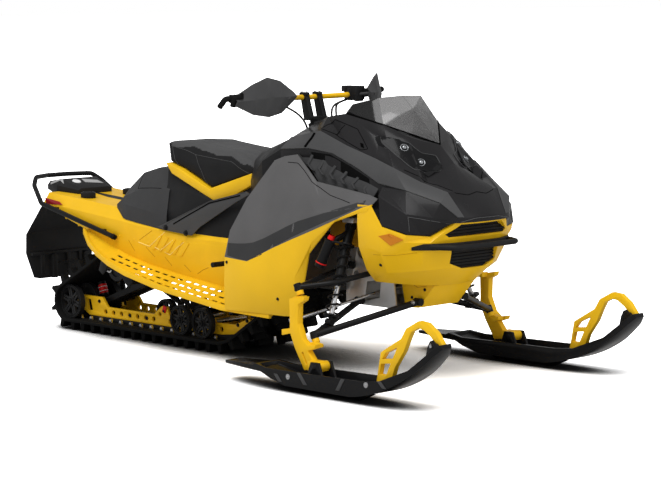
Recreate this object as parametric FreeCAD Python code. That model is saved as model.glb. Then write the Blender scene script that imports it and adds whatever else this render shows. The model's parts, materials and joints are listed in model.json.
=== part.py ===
import FreeCAD
import Part
import math
import os

# A trail snowmobile. X points forward, Y to its left and Z up. The floor is Z = 0,
# and the origin lies under the middle of the overall length. All sizes are in mm.

V = FreeCAD.Vector

# General clearances and sheet thicknesses
SEAT_GAP = 0.3
SHEET = 3.0
PANEL = 5.0

# Track and its wheels
PITCH = 73.0
PITCHES = 48
TRACK_WIDTH = 381.0
BELT = 12.0
LUG = 38.0
LUG_FOOT = 30.0
LUG_TIP = 14.0
OUTER_LUG = (118.0, 184.0)
MID_LUG = (46.0, 110.0)
EDGE_LUG = (150.0, 184.0)
CENTRE_LUG = 36.0
REAR_WHEEL_R = 77.0
REAR_AXLE_X = -1225.0
ROAD_WHEEL_R = 65.0
ROAD_WHEEL_X = (-648.0, -440.0, -292.0)
ROAD_WHEEL_Y = (60.0, 150.0, 150.0)
IDLER_R = 62.0
IDLER_AXLE = (-925.0, 303.0)
DRIVE_R = 84.0
DRIVE_Z = 352.0
NOSE_R = 250.0
NOSE_X = -190.0
WHEEL_WIDTH = 26.0
TYRE = 13.0
WHEEL_HUB_R = 17.0
AXLE_R = 10.0
ARM_FOOT_FRONT = (-470.0, 134.0)
ARM_FOOT_REAR = (-1085.0, 134.0)
ARM_TOP_FRONT = (-70.0, 330.0)
ARM_TOP_REAR = (-740.0, 262.0)
SPROCKET_TEETH = 8

# Slide rails
RAIL_Y = 98.0
RAIL_THICK = 12.0
RAIL_TOP = 112.0
RAIL_BOTTOM = 66.0
SLIDER_WIDTH = 30.0
RAIL_HOLE_R = 12.0
RAIL_HOLE_STEP = 58.0

# Tunnel and running boards
TRACK_SIDE = 17.5
TUNNEL_HALF = TRACK_WIDTH / 2 + TRACK_SIDE
TUNNEL_TOP = [(-1350.0, 622.0), (-784.0, 580.0), (-303.0, 530.0), (330.0, 515.0)]
TUNNEL_CHAMFER = (30.0, 44.0)
BOARD_OUTER = 340.0
RIM_WIDE = 14.0
RIM_TALL = 24.0
BOARD_HOLE = (34.0, 15.0)
BOARD_HOLE_STEP = 52.0

# Rear end
BUMPER_R = 11.0
BUMPER_OUT = 18.0
BUMPER_BEND = 45.0
FLAP_THICK = 7.0
ANCHOR_X = -1130.0
ANCHOR_Y = 120.0
ANCHOR_R = 34.0
ANCHOR_BORE_R = 6.5
ANCHOR_BORE_LONG = 16.0

# Front suspension, given for the right side as (x, outward y, z)
LOWER_BALL = (778.0, 490.0, 208.0)
UPPER_BALL = (690.0, 490.0, 385.0)
LOWER_FRONT = (978.0, 318.0)
LOWER_REAR = (690.0, 302.0)
UPPER_FRONT = (846.0, 440.0)
UPPER_REAR = (640.0, 440.0)
SHOCK_TOP = (735.0, 250.0, 605.0)
SHOCK_FOOT = (775.0, 405.0, 250.0)
ARM_R = 13.0
UPPER_ARM_R = 11.0
BUSH_R = 15.0
BUSH_LONG = 34.0
BALL_R = 15.0
SHOCK_R = 19.0
SPRING_R = 25.0
SPRING_WIRE = 4.0
SPRING_TURNS = 7

# Skis, given for the right side
SKI_Y = 540.0
SKI_HALF = 76.0
SKI_PIVOT = (872.0, 104.0)
SKI_BOLT_R = 8.0
SKI_WALL = 9.0
SKI_PAN = 32.0
SKI_PAN_THICK = 9.0
SKI_WALL_TOP = 88.0
SKI_FLAT = (740.0, 1095.0)
SKI_TIP = (1535.0, 256.0)
SKI_TAIL = (355.0, 66.0)
KEEL_HALF = 14.0
LOOP_THICK = 22.0

# Handlebar and steering
POST_FOOT = (272.0, 0.0, 985.0)
POST_LEAN = 16.0
BAR_R = 11.0
BAR_HEIGHT = 1089.0
GRIP_R = 17.0
GRIP_Y = (262.0, 392.0)

# Engine and bulkhead
ENGINE_HALF = 190.0
ENGINE_Z = (335.0, 560.0)
TUNNEL_FRONT = 350.0
CONSOLE_REAR = 60.0
BULKHEAD_REAR = 600.0
BULKHEAD_FRONT = 868.0
BULKHEAD_FLOOR = 290.0
BULKHEAD_HALF = 150.0
BULKHEAD_PLATE = 8.0
KEEL_HALF_WIDTH = 110.0
VENT_RIBS = 6
VENT_RIB = 14.0
STRIP = 3.0


HANGER = 6.0
BOARD_ROWS = (-250.0, -288.0, -326.0)
PEG = (-48.0, 398.0)
PEG_R = 11.0
PEG_REACH = 300.0
ANCHOR_TOP = 630.0
STRUT_BOLTS = ((-452.0, 520.0), (-318.0, 506.0))

BOARD_LINE = [
    # x, inner z, outer y, outer z
    (-1020.0, 474.0, 222.0, 470.0),
    (-951.0, 450.0, 250.0, 424.0),
    (-846.0, 414.0, 285.0, 388.0),
    (-724.0, 380.0, 315.0, 356.0),
    (-582.0, 352.0, 335.0, 326.0),
    (-348.0, 322.0, BOARD_OUTER, 284.0),
    (65.0, 280.0, BOARD_OUTER, 236.0),
    (TUNNEL_FRONT, 264.0, 330.0, 228.0),
]


def write(shape, name):
    """Write one sub-part to its own file."""
    shape.exportStep("parts/" + name + ".step")


def mirror(shape):
    """The same piece on the other side of the machine."""
    return shape.mirror(V(0, 0, 0), V(0, 1, 0))


def pair(shape):
    """A piece and its mirror image."""
    return Part.Compound([shape, mirror(shape)])


def right(point):
    """Place an outward point on the right side."""
    return V(point[0], -point[1], point[2])


def largest(shape):
    """The biggest solid of a shape that a cut has split."""
    return max(shape.Solids, key=lambda solid: solid.Volume)


def prism_y(points, low, high):
    """Extrude an X-Z outline from low to high along Y."""
    wire = Part.makePolygon([V(x, low, z) for x, z in points + points[:1]])
    return Part.Face(wire).extrude(V(0, high - low, 0))


def prism_x(points, low, high):
    """Extrude a Y-Z outline from low to high along X."""
    wire = Part.makePolygon([V(low, y, z) for y, z in points + points[:1]])
    return Part.Face(wire).extrude(V(high - low, 0, 0))


def prism_z(points, low, high):
    """Extrude an X-Y outline from low to high along Z."""
    wire = Part.makePolygon([V(x, y, low) for x, y in points + points[:1]])
    return Part.Face(wire).extrude(V(0, 0, high - low))


def box(x, y, z):
    """A block between two limits on each axis."""
    return Part.makeBox(x[1] - x[0], y[1] - y[0], z[1] - z[0], V(x[0], y[0], z[0]))


def rod(start, end, radius):
    """A round bar between two points."""
    start = V(*start)
    end = V(*end)
    return Part.makeCylinder(radius, (end - start).Length, start, end - start)


def disc_y(x, z, radius, low, high):
    """A round piece whose axis lies along Y."""
    return Part.makeCylinder(radius, high - low, V(x, low, z), V(0, 1, 0))


def loft_x(stations):
    """A ruled solid through Y-Z outlines at given X."""
    wires = []
    for x, outline in stations:
        wires.append(Part.makePolygon([V(x, y, z) for y, z in outline + outline[:1]]))
    return Part.makeLoft(wires, True, True)


def bent_path(points, bend):
    """A wire through the points with each corner rounded to one bend radius."""
    points = [V(*point) for point in points]
    edges = []
    start = points[0]
    for before, corner, after in zip(points, points[1:], points[2:]):
        back = (before - corner).normalize()
        ahead = (after - corner).normalize()
        half = back.getAngle(ahead) / 2
        reach = bend / math.tan(half)
        entry = corner + back * reach
        leave = corner + ahead * reach
        inward = (back + ahead).normalize()
        middle = corner + inward * (bend / math.sin(half) - bend)
        edges.append(Part.makeLine(start, entry))
        edges.append(Part.Arc(entry, middle, leave).toShape())
        start = leave
    edges.append(Part.makeLine(start, points[-1]))
    return Part.Wire(edges)


def bent_tube(points, radius, bend):
    """A round bar bent at each inner point."""
    path = bent_path(points, bend)
    first = path.Edges[0]
    origin = first.valueAt(first.FirstParameter)
    along = first.tangentAt(first.FirstParameter)
    ring = Part.Wire(Part.makeCircle(radius, origin, along))
    return path.makePipeShell([ring], True, True)


def face(points):
    """A flat face through three or four corners."""
    return Part.Face(Part.makePolygon(list(points) + [points[0]]))


def closed(faces):
    """Sew faces into one solid."""
    shell = Part.makeShell(faces)
    shell.sewShape()
    solid = Part.makeSolid(shell)
    if solid.Volume < 0:
        solid.reverse()
    return solid


def facets(rows):
    """The triangles of a grid of points, alike on both sides of the centre line."""
    whole = rows[0][0].y < 0 < rows[0][-1].y
    for first, second in zip(rows, rows[1:]):
        for a, b, c, d in zip(first, first[1:], second, second[1:]):
            halves = ((a, b, d), (a, d, c))
            if whole and a.y < 0:
                halves = ((a, b, c), (b, d, c))
            for corners in halves:
                if min((corners[i] - corners[i - 1]).Length for i in range(3)) > 0.01:
                    yield corners


def rim(rows):
    """The border points of a grid, in order and without repeats."""
    loop = list(rows[0]) + [row[-1] for row in rows[1:-1]]
    loop += list(reversed(rows[-1])) + [row[0] for row in reversed(rows[1:-1])]
    return [p for i, p in enumerate(loop) if (p - loop[i - 1]).Length > 0.01]


def slab(rows, shift):
    """A faceted panel: a grid of points and the same grid moved by a vector."""
    faces = []
    for corners in facets(rows):
        faces.append(face(corners))
        faces.append(face([p + shift for p in corners]))
    border = rim(rows)
    for i, p in enumerate(border):
        before = border[i - 1]
        faces.append(face([before, p, p + shift, before + shift]))
    return closed(faces)


def block(rows, axis, level):
    """A solid between a faceted surface and the flat plane axis = level."""
    def drop(point):
        moved = V(point)
        setattr(moved, axis, level)
        return moved

    faces = [face(corners) for corners in facets(rows)]
    border = rim(rows)
    floor = [drop(p) for p in border]
    faces.append(face(floor))
    for i, p in enumerate(border):
        if (p - floor[i]).Length < 0.01 and (border[i - 1] - floor[i - 1]).Length < 0.01:
            continue
        faces.append(face([border[i - 1], p, floor[i], floor[i - 1]]))
    return closed(faces)


def whole_row(half):
    """Mirror a row given from the centre line outward."""
    near = [V(x, -y, z) for x, y, z in reversed(half)]
    return near + [V(x, y, z) for x, y, z in half if y > 0]


# Track loop: circles in order, seen with X to the right, so that the loop turns left
GROUND = BELT + LUG
REAR_AXLE_Z = GROUND + REAR_WHEEL_R
NOSE_Z = GROUND + NOSE_R


def loop_spans(circles):
    """Straight and round stretches of a belt laid outside the circles."""
    normals = []
    for (first, r1), (second, r2) in zip(circles, circles[1:] + circles[:1]):
        gap = second - first
        along = V(gap.x, 0, gap.z) * (1 / gap.Length)
        aside = V(along.z, 0, -along.x)
        lean = (r1 - r2) / gap.Length
        normals.append(aside * math.sqrt(1 - lean * lean) + along * lean)
    spans = []
    for i, (centre, radius) in enumerate(circles):
        start = math.atan2(normals[i - 1].z, normals[i - 1].x)
        end = math.atan2(normals[i].z, normals[i].x)
        while end < start:
            end += 2 * math.pi
        spans.append(("arc", centre, radius, start, end))
        following, next_radius = circles[(i + 1) % len(circles)]
        begin = centre + normals[i] * radius
        finish = following + normals[i] * next_radius
        spans.append(("line", begin, finish, normals[i]))
    return spans


def span_length(span, offset):
    """Length of a stretch when moved outward by an offset."""
    if span[0] == "arc":
        return (span[2] + offset) * (span[4] - span[3])
    return (span[2] - span[1]).Length


def track_circles(drive_x):
    """Wheels and rail nose that the belt runs on."""
    return [
        (V(NOSE_X, 0, NOSE_Z), NOSE_R),
        (V(drive_x, 0, DRIVE_Z), DRIVE_R),
        (V(IDLER_AXLE[0], 0, IDLER_AXLE[1]), IDLER_R),
        (V(REAR_AXLE_X, 0, REAR_AXLE_Z), REAR_WHEEL_R),
    ]


def find_drive_x():
    """Drive axle place at which the belt has its true length."""
    low, high = 0.0, 500.0
    for _ in range(40):
        middle = (low + high) / 2
        spans = loop_spans(track_circles(middle))
        if sum(span_length(s, BELT / 2) for s in spans) < PITCH * PITCHES:
            low = middle
        else:
            high = middle
    return low


DRIVE_X = find_drive_x()
SPANS = loop_spans(track_circles(DRIVE_X))


def loop_prism(offset, low, high):
    """The loop's inside, moved outward by an offset, as a solid along Y."""
    edges = []
    for span in SPANS:
        if span[0] == "arc":
            _, centre, radius, start, end = span
            points = []
            for angle in (start, (start + end) / 2, end):
                ray = V(math.cos(angle), 0, math.sin(angle))
                points.append(centre + ray * (radius + offset) + V(0, low, 0))
            edges.append(Part.Arc(*points).toShape())
        else:
            out = span[3] * offset + V(0, low, 0)
            edges.append(Part.makeLine(span[1] + out, span[2] + out))
    return Part.Face(Part.Wire(edges)).extrude(V(0, high - low, 0))


def on_loop(distance, offset):
    """Point and outward direction at a distance along the moved loop."""
    for span in SPANS:
        length = span_length(span, offset)
        if distance > length:
            distance -= length
            continue
        if span[0] == "line":
            along = (span[2] - span[1]).normalize()
            return span[1] + along * distance + span[3] * offset, span[3]
        angle = span[3] + distance / (span[2] + offset)
        ray = V(math.cos(angle), 0, math.sin(angle))
        return span[1] + ray * (span[2] + offset), ray
    raise ValueError("distance past the loop")


def lug(centre, out, low, high):
    """One tapered lug across the belt."""
    along = V(-out.z, 0, out.x)
    base = centre - out
    tip = centre + out * LUG
    corners = [
        base - along * (LUG_FOOT / 2),
        base + along * (LUG_FOOT / 2),
        tip + along * (LUG_TIP / 2),
        tip - along * (LUG_TIP / 2),
    ]
    outline = [V(p.x, low, p.z) for p in corners]
    return face(outline).extrude(V(0, high - low, 0))


def make_track():
    """Belt with alternate rows of lugs, all one piece."""
    half = TRACK_WIDTH / 2
    belt = loop_prism(BELT, -half, half).cut(loop_prism(0, -half - 1, half + 1))
    total = sum(span_length(s, BELT) for s in SPANS)
    lugs = []
    for i in range(PITCHES):
        centre, out = on_loop(total * (i + 0.5) / PITCHES, BELT)
        if i % 2:
            spans = [(-OUTER_LUG[1], -OUTER_LUG[0]), (-CENTRE_LUG, CENTRE_LUG), OUTER_LUG]
        else:
            spans = [(-EDGE_LUG[1], -EDGE_LUG[0]), (-MID_LUG[1], -MID_LUG[0]), MID_LUG, EDGE_LUG]
        for low, high in spans:
            lugs.append(lug(centre, out, low, high))
    return belt.multiFuse(lugs)


def spoked_wheel(x, z, radius, middle):
    """A moulded wheel with six pairs of spokes and a rubber tyre."""
    low, high = middle - WHEEL_WIDTH / 2, middle + WHEEL_WIDTH / 2
    rim_r = radius - SEAT_GAP
    wheel = disc_y(x, z, rim_r, low, high).cut(disc_y(x, z, rim_r - TYRE, low, high))
    hub = disc_y(x, z, WHEEL_HUB_R, low, high)
    pieces = [hub]
    for i in range(6):
        turn = i * 60 + 15
        for side in (-7, 7):
            spoke = box((WHEEL_HUB_R - 6, rim_r - TYRE + 4), (low + 7, high - 7), (side - 4, side + 4))
            spoke.rotate(V(0, 0, 0), V(0, 1, 0), turn)
            spoke.translate(V(x, 0, z))
            pieces.append(spoke)
    wheel = wheel.multiFuse(pieces)
    return wheel.cut(disc_y(x, z, AXLE_R, low - 1, high + 1))


def plain_wheel(x, z, radius, middle):
    """A solid wheel with a dished face."""
    low, high = middle - WHEEL_WIDTH / 2, middle + WHEEL_WIDTH / 2
    wheel = disc_y(x, z, radius - SEAT_GAP, low, high)
    for dish in ((low, low + 7), (high - 7, high)):
        ring = disc_y(x, z, radius - TYRE - 4, *dish).cut(disc_y(x, z, WHEEL_HUB_R + 6, *dish))
        wheel = wheel.cut(ring)
    return wheel.cut(disc_y(x, z, AXLE_R, low - 1, high + 1))


def make_wheels():
    """Rear wheels, road wheels and upper idlers with their axles."""
    rear = [spoked_wheel(REAR_AXLE_X, REAR_AXLE_Z, REAR_WHEEL_R, y) for y in (-150, 150)]
    rear += [plain_wheel(REAR_AXLE_X, REAR_AXLE_Z, REAR_WHEEL_R, y) for y in (-60, 60)]
    write(Part.Compound(rear), "rear_wheels")
    road = []
    for x, y in zip(ROAD_WHEEL_X, ROAD_WHEEL_Y):
        for side in (-y, y):
            road.append(spoked_wheel(x, GROUND + ROAD_WHEEL_R, ROAD_WHEEL_R, side))
    road += [plain_wheel(*IDLER_AXLE, IDLER_R, y) for y in (-115, 115)]
    write(Part.Compound(road), "road_wheels")
    axles = [disc_y(REAR_AXLE_X, REAR_AXLE_Z, AXLE_R, -170, 170)]
    reach = TUNNEL_HALF - SHEET - HANGER
    axles.append(disc_y(*IDLER_AXLE, AXLE_R, -reach, reach))
    for x, y in zip(ROAD_WHEEL_X, ROAD_WHEEL_Y):
        axles.append(disc_y(x, GROUND + ROAD_WHEEL_R, AXLE_R, -y - 18, y + 18))
    write(Part.Compound(axles), "wheel_axles")


def make_drive():
    """Drive axle with two toothed sprockets inside the belt."""
    axle = disc_y(DRIVE_X, DRIVE_Z, 14, -TUNNEL_HALF + SHEET, TUNNEL_HALF - SHEET)
    for y in (-64, 64):
        sprocket = disc_y(DRIVE_X, DRIVE_Z, DRIVE_R - SEAT_GAP, y - 14, y + 14)
        for i in range(SPROCKET_TEETH):
            notch = disc_y(DRIVE_X + DRIVE_R, DRIVE_Z, 17, y - 15, y + 15)
            notch.rotate(V(DRIVE_X, 0, DRIVE_Z), V(0, 1, 0), i * 360 / SPROCKET_TEETH + 11)
            sprocket = sprocket.cut(notch)
        axle = axle.fuse(sprocket)
    write(axle, "drive_axle")


def make_rails():
    """Slide rails with holes and brackets, and the sliders under them."""
    foot_x = ARM_FOOT_FRONT[0]
    outline = [
        (REAR_AXLE_X - 24, RAIL_BOTTOM + 44), (REAR_AXLE_X + 60, RAIL_BOTTOM), (NOSE_X - 40, RAIL_BOTTOM),
        (NOSE_X + 60, 78), (NOSE_X + 162, 132), (NOSE_X + 142, 152), (NOSE_X + 50, 118), (-345, RAIL_TOP),
        (foot_x + 50, RAIL_TOP), (foot_x + 22, RAIL_TOP + 44), (foot_x - 24, RAIL_TOP + 44), (foot_x - 56, RAIL_TOP),
        (-580, RAIL_TOP), (-600, RAIL_TOP + 40), (-634, RAIL_TOP + 40), (-690, RAIL_TOP),
        (ARM_FOOT_REAR[0] + 60, RAIL_TOP), (ARM_FOOT_REAR[0] + 22, RAIL_TOP + 42), (REAR_AXLE_X + 14, RAIL_TOP + 42),
        (REAR_AXLE_X - 24, RAIL_TOP + 28),
    ]
    rail = prism_y(outline, -RAIL_THICK / 2, RAIL_THICK / 2)
    for x in ROAD_WHEEL_X:
        rail = rail.fuse(disc_y(x, GROUND + ROAD_WHEEL_R, AXLE_R + 9, -RAIL_THICK / 2, RAIL_THICK / 2))
    window = [(-1135, RAIL_TOP - 26), (-1150, RAIL_TOP + 26), (-1180, RAIL_TOP + 26), (-1172, RAIL_TOP - 26)]
    rail = rail.cut(prism_y(window, -RAIL_THICK, RAIL_THICK))
    x = -1040
    while x < NOSE_X:
        clear_of_wheels = min(abs(x - wheel) for wheel in ROAD_WHEEL_X) > RAIL_HOLE_R + AXLE_R + 4
        if clear_of_wheels:
            rail = rail.cut(disc_y(x, (RAIL_BOTTOM + RAIL_TOP) / 2, RAIL_HOLE_R, -RAIL_THICK, RAIL_THICK))
        x += RAIL_HOLE_STEP
    slider_line = [
        (REAR_AXLE_X + 100, GROUND + SEAT_GAP), (NOSE_X, GROUND + SEAT_GAP), (NOSE_X + 44, 59), (NOSE_X + 50, 76.5),
        (NOSE_X - 40, RAIL_BOTTOM), (REAR_AXLE_X + 100, RAIL_BOTTOM),
    ]
    slider = prism_y(slider_line, -SLIDER_WIDTH / 2, SLIDER_WIDTH / 2)
    bores = [(REAR_AXLE_X, REAR_AXLE_Z)] + [(x, GROUND + ROAD_WHEEL_R) for x in ROAD_WHEEL_X]
    for x, z in bores:
        rail = rail.cut(disc_y(x, z, AXLE_R, -RAIL_THICK, RAIL_THICK))
    for piece, name in ((rail, "slide_rails"), (slider, "rail_sliders")):
        piece.translate(V(0, -RAIL_Y, 0))
        write(pair(piece), name)


def make_rear_suspension():
    """Swing arms, hangers and the two dampers between the rails."""
    inner = RAIL_Y - RAIL_THICK / 2
    wall = TUNNEL_HALF - SHEET
    arms = []
    for foot, top, reach in ((ARM_FOOT_FRONT, ARM_TOP_FRONT, wall), (ARM_FOOT_REAR, ARM_TOP_REAR, wall - HANGER)):
        cross = disc_y(*top, 16, -reach, reach)
        low = disc_y(*foot, 14, -inner, inner)
        bar = prism_y([
            (foot[0], foot[1] - 13), (foot[0], foot[1] + 13), (top[0] - 8, top[1] + 15), (top[0] + 8, top[1] - 15),
        ], 46, 66)
        arms.append(cross.multiFuse([low, bar, mirror(bar)]))
    front_arm, rear_arm = arms
    write(Part.Compound(arms), "swing_arms")
    x, z = ARM_TOP_REAR
    idler_x, idler_z = IDLER_AXLE
    plate = [
        (idler_x - 28, idler_z - 6), (idler_x, idler_z - 26), (idler_x + 26, idler_z - 6), (-856, 380),
        (x - 32, z), (x, z - 30), (x + 32, z), (x + 20, z + 34), (-800, 440), (-890, 440),
    ]
    hanger = prism_y(plate, wall - HANGER, wall)
    write(pair(hanger), "suspension_hangers")
    strap = rod((x + 8, 80, z - 12), (ARM_FOOT_FRONT[0] - 8, 80, ARM_FOOT_FRONT[1] + 8), 5)
    strap = strap.cut(rear_arm).cut(front_arm)
    short = damper((x, -20, z), (-572, -20, RAIL_TOP + 20), 20, 10)
    long = damper((x, 20, z), (ARM_FOOT_REAR[0], 20, ARM_FOOT_REAR[1]), 20, 10)
    can = rod((-1150, -24, 148), (-1172, -24, 208), 19)
    bridge = rod((-1152, -24, 156), (ARM_FOOT_REAR[0], -24, ARM_FOOT_REAR[1]), 8)
    cradle = disc_y(-572, RAIL_TOP + 20, 10, -inner, inner)
    pieces = [short.cut(cradle), long, can.fuse(bridge)]
    write(Part.Compound([largest(piece.cut(rear_arm)) for piece in pieces]), "rear_dampers")
    write(Part.Compound([cradle, strap, mirror(strap)]), "damper_carriers")


def damper(start, end, body_r, rod_r):
    """A damper: an eye at each end, a body and its thinner rod."""
    start = V(*start)
    end = V(*end)
    along = end - start
    middle = start + along * 0.6
    body = rod(start + along * 0.06, middle, body_r)
    shaft = rod(middle, end - along * 0.02, rod_r)
    eyes = []
    for point in (start, end):
        eyes.append(disc_y(point.x, point.z, body_r - 2, point.y - 11, point.y + 11))
    return body.multiFuse([shaft] + eyes)


def tunnel_outline(half, drop, low, top):
    """Section of the tunnel at one station."""
    inset, fall = TUNNEL_CHAMFER
    return [
        (-half, low), (-half, top - drop - fall), (-half + inset, top - drop),
        (half - inset, top - drop), (half, top - drop - fall), (half, low),
    ]


def make_tunnel():
    """Folded sheet channel over the track with chamfered shoulders."""
    shell = loft_x([(x, tunnel_outline(TUNNEL_HALF, 0, 200, z)) for x, z in TUNNEL_TOP])
    hollow = loft_x([(x, tunnel_outline(TUNNEL_HALF - SHEET, SHEET, 190, z)) for x, z in TUNNEL_TOP])
    keep = [(x, z - 4) for x, z, _, _ in BOARD_LINE]
    keep = [(-1351, 700), (-1351, 565)] + keep + [(TUNNEL_FRONT, 700)]
    tunnel = shell.cut(hollow).common(prism_y(keep, -300, 300))
    for turn in range(5):
        x = -560 + 46 * turn
        line = [(x, 420 - 4 * turn), (x + 18, 418 - 4 * turn), (x + 70, 482 - 5 * turn), (x + 52, 484 - 5 * turn)]
        rib = prism_y(line, TUNNEL_HALF - 0.01, TUNNEL_HALF + 3)
        tunnel = tunnel.multiFuse([rib, mirror(rib)])
    write(tunnel, "tunnel")
    return shell


def make_running_board():
    """Sloping perforated step with an upturned rim, for the right side."""
    deck = []
    edge = []
    for x, inner_z, outer_y, outer_z in BOARD_LINE:
        inner_y = -TUNNEL_HALF
        deck.append((x, [(inner_y, inner_z), (-outer_y, outer_z), (-outer_y, outer_z - 4), (inner_y, inner_z - 4)]))
        low, high = outer_z - RIM_TALL / 2, outer_z + RIM_TALL / 2
        edge.append((x, [(-outer_y, low), (-outer_y, high), (-outer_y - RIM_WIDE, high), (-outer_y - RIM_WIDE, low)]))
    board = loft_x(deck)
    x = -760
    length, width = BOARD_HOLE
    while x < 60:
        for y in BOARD_ROWS:
            if y < -300 and x < -600:
                continue
            board = board.cut(box((x, x + length), (y, y + width), (200, 560)))
        x += BOARD_HOLE_STEP
    board = board.fuse(loft_x(edge))
    write(pair(board), "running_boards")
    step = board
    peg = disc_y(PEG[0], PEG[1], PEG_R, -PEG_REACH, -TUNNEL_HALF)
    write(pair(peg), "foot_pegs")
    return step


def make_rear_end(tunnel_block):
    """Tubular bumper, lamp housing, reflectors, snow flap and accessory anchors."""
    side = -TUNNEL_HALF - BUMPER_OUT
    half = [
        (-820, side, 459), (-1345, side, 574), (-1440, side + 30, 650), (-1475, side + 66, 684), (-1525, -60, 684),
    ]
    line = half + [(x, -y, z) for x, y, z in reversed(half)]
    bumper = bent_tube(line, BUMPER_R, BUMPER_BEND)
    clamps = []
    for x, z in ((-900, 476), (-1250, 553)):
        foot = box((x - 16, x + 16), (side, -TUNNEL_HALF), (z - 9, z + 9))
        clamps += [foot, mirror(foot)]
    write(bumper.multiFuse(clamps), "rear_bumper")
    housing = loft_x([
        (-1475, [(-95, 646), (-80, 662), (80, 662), (95, 646), (95, 626), (-95, 626)]),
        (-1360, [(-125, 650), (-100, 678), (100, 678), (125, 650), (125, 600), (-125, 600)]),
        (-1235, [(-95, 632), (-80, 640), (80, 640), (95, 632), (95, 590), (-95, 590)]),
    ]).cut(tunnel_block)
    lamp = prism_x([(-78, 632), (-74, 652), (74, 652), (78, 632)], -1479, -1462)
    write(housing.cut(lamp), "rear_lamp_housing")
    flank = prism_y([(-1338, 600), (-1330, 572), (-1205, 574), (-1230, 588)], TUNNEL_HALF, TUNNEL_HALF + 3)
    write(Part.Compound([lamp, flank, mirror(flank)]), "rear_lights")
    rows = [
        whole_row([(-1350, 0, 621), (-1350, 150, 621), (-1350, TUNNEL_HALF - 2, 577)]),
        whole_row([(-1515, 0, 430), (-1515, 150, 430), (-1515, 192, 416)]),
        whole_row([(-1520, 0, 326), (-1520, 150, 326), (-1520, 192, 326)]),
        whole_row([(-1505, 0, 205), (-1505, 130, 205), (-1505, 160, 212)]),
    ]
    flap = slab(rows, V(-FLAP_THICK, 0, 0))
    ribs = []
    for y in (-110, -40, 40, 110):
        ribs.append(box((-1520, -1505), (y - 9, y + 9), (222, 318)))
    flap = flap.multiFuse(ribs)
    write(largest(flap.cut(tunnel_block).cut(housing)), "snow_flap")
    anchors = []
    for y in (-ANCHOR_Y, ANCHOR_Y):
        top = ANCHOR_TOP
        base = Part.makeCylinder(ANCHOR_R, 60, V(ANCHOR_X, y, top - 60)).cut(tunnel_block)
        relief = Part.makeCylinder(ANCHOR_BORE_R * 2, 60, V(ANCHOR_X, y, top - 60 - ANCHOR_BORE_LONG))
        base = base.cut(relief)
        anchors.append(base.cut(Part.makeCylinder(ANCHOR_BORE_R, 80, V(ANCHOR_X, y, top - 70))))
    write(Part.Compound(anchors), "cargo_anchors")


def make_seat(tunnel_block):
    """Seat cushion, its trimmed base, the box behind it and the strut plates."""
    section = [(-168, 600), (-150, 800), (-112, 892), (112, 892), (150, 800), (168, 600)]
    inside = prism_x(section, -760, CONSOLE_REAR - SEAT_GAP)
    cushion = prism_y([
        (-560, 876), (-540, 886), (-359, 890), (-97, 858), (30, 815), (79, 781),
        (-216, 697), (-409, 772), (-505, 796),
    ], -200, 200).common(inside)
    write(cushion, "seat_cushion")
    front = CONSOLE_REAR - SEAT_GAP
    band = prism_y([
        (-505, 796), (-409, 772), (-216, 697), (79, 781), (78, 734), (-115, 651), (-181, 646), (-462, 750),
    ], -172, 172).cut(cushion).common(box((-600, front), (-300, 300), (500, 900)))
    write(band, "seat_base")
    under = prism_y([
        (-505, 796), (-462, 750), (-181, 646), (-115, 651), (front, 724), (front, 500), (-510, 500),
    ], -200, 200)
    plate = prism_y([
        (-510, 520), (-450, 508), (-282, 498), (-226, 538), (14, 658), (99, 694), (75, 704), (-158, 652),
    ], TUNNEL_HALF + 3.5, TUNNEL_HALF + 9.5)
    bosses = [disc_y(x, z, 10, TUNNEL_HALF - 30, TUNNEL_HALF + 4) for x, z in STRUT_BOLTS]
    struts = pair(plate.multiFuse(bosses).cut(tunnel_block))
    write(struts, "strut_plates")
    walls = [(-196, 500), (-192, 600), (-160, 700), (-150, 800), (150, 800), (160, 700), (192, 600), (196, 500)]
    under = under.common(prism_x(walls, -600, 100)).cut(tunnel_block).cut(band).cut(struts)
    write(largest(under), "seat_pedestal")
    trunk = block([whole_row(row) for row in BOX_ROWS], "z", 500).cut(tunnel_block)
    write(largest(trunk.cut(cushion).cut(under).cut(band).cut(struts)), "storage_box")


BOX_ROWS = [
    [(-905, 0, 610), (-884, 120, 610), (-840, 180, 597), (-770, 203, 588)],
    [(-845, 0, 672), (-825, 115, 668), (-780, 175, 638), (-745, 205, 602)],
    [(-736, 0, 742), (-728, 112, 738), (-690, 172, 668), (-655, 206, 592)],
    [(-630, 0, 772), (-625, 110, 765), (-600, 172, 676), (-570, 206, 580)],
    [(-500, 0, 772), (-500, 110, 758), (-480, 172, 674), (-462, 206, 565)],
]


def points(half, side):
    """Turn outward points into vectors on one side, -1 for the right."""
    return [V(x, side * y, z) for x, y, z in half]


HOOD_ROWS = [
    [(345, 0, 962), (343, 90, 962), (343, 150, 957), (345, 205, 935), (345, 262, 892)],
    [(500, 0, 985), (500, 90, 995), (503, 150, 1022), (530, 215, 968), (500, 252, 900)],
    [(640, 0, 1000), (645, 100, 1010), (652, 188, 1041), (700, 228, 915), (640, 253, 886)],
    [(800, 0, 985), (810, 80, 990), (822, 152, 1000), (860, 230, 872), (790, 256, 832)],
    [(980, 0, 922), (955, 60, 935), (917, 112, 956), (950, 228, 842), (905, 262, 782)],
    [(1055, 0, 852), (1048, 60, 832), (1045, 135, 790), (1060, 185, 788), (1040, 248, 760)],
    [(1166, 0, 758), (1163, 60, 758), (1157, 110, 755), (1154, 138, 752), (1165, 190, 716)],
    [(1232, 0, 664), (1229, 50, 662), (1224, 88, 659), (1218, 115, 660), (1210, 142, 661)],
]

CHEEK_ROWS = [
    [(932, 268, 772), (1040, 249, 761), (1165, 191, 716), (1211, 143, 661)],
    [(955, 312, 742), (1085, 292, 677), (1150, 216, 662), (1200, 150, 648)],
    [(992, 340, 634), (1092, 298, 603), (1112, 240, 596), (1124, 205, 591)],
]

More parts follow.
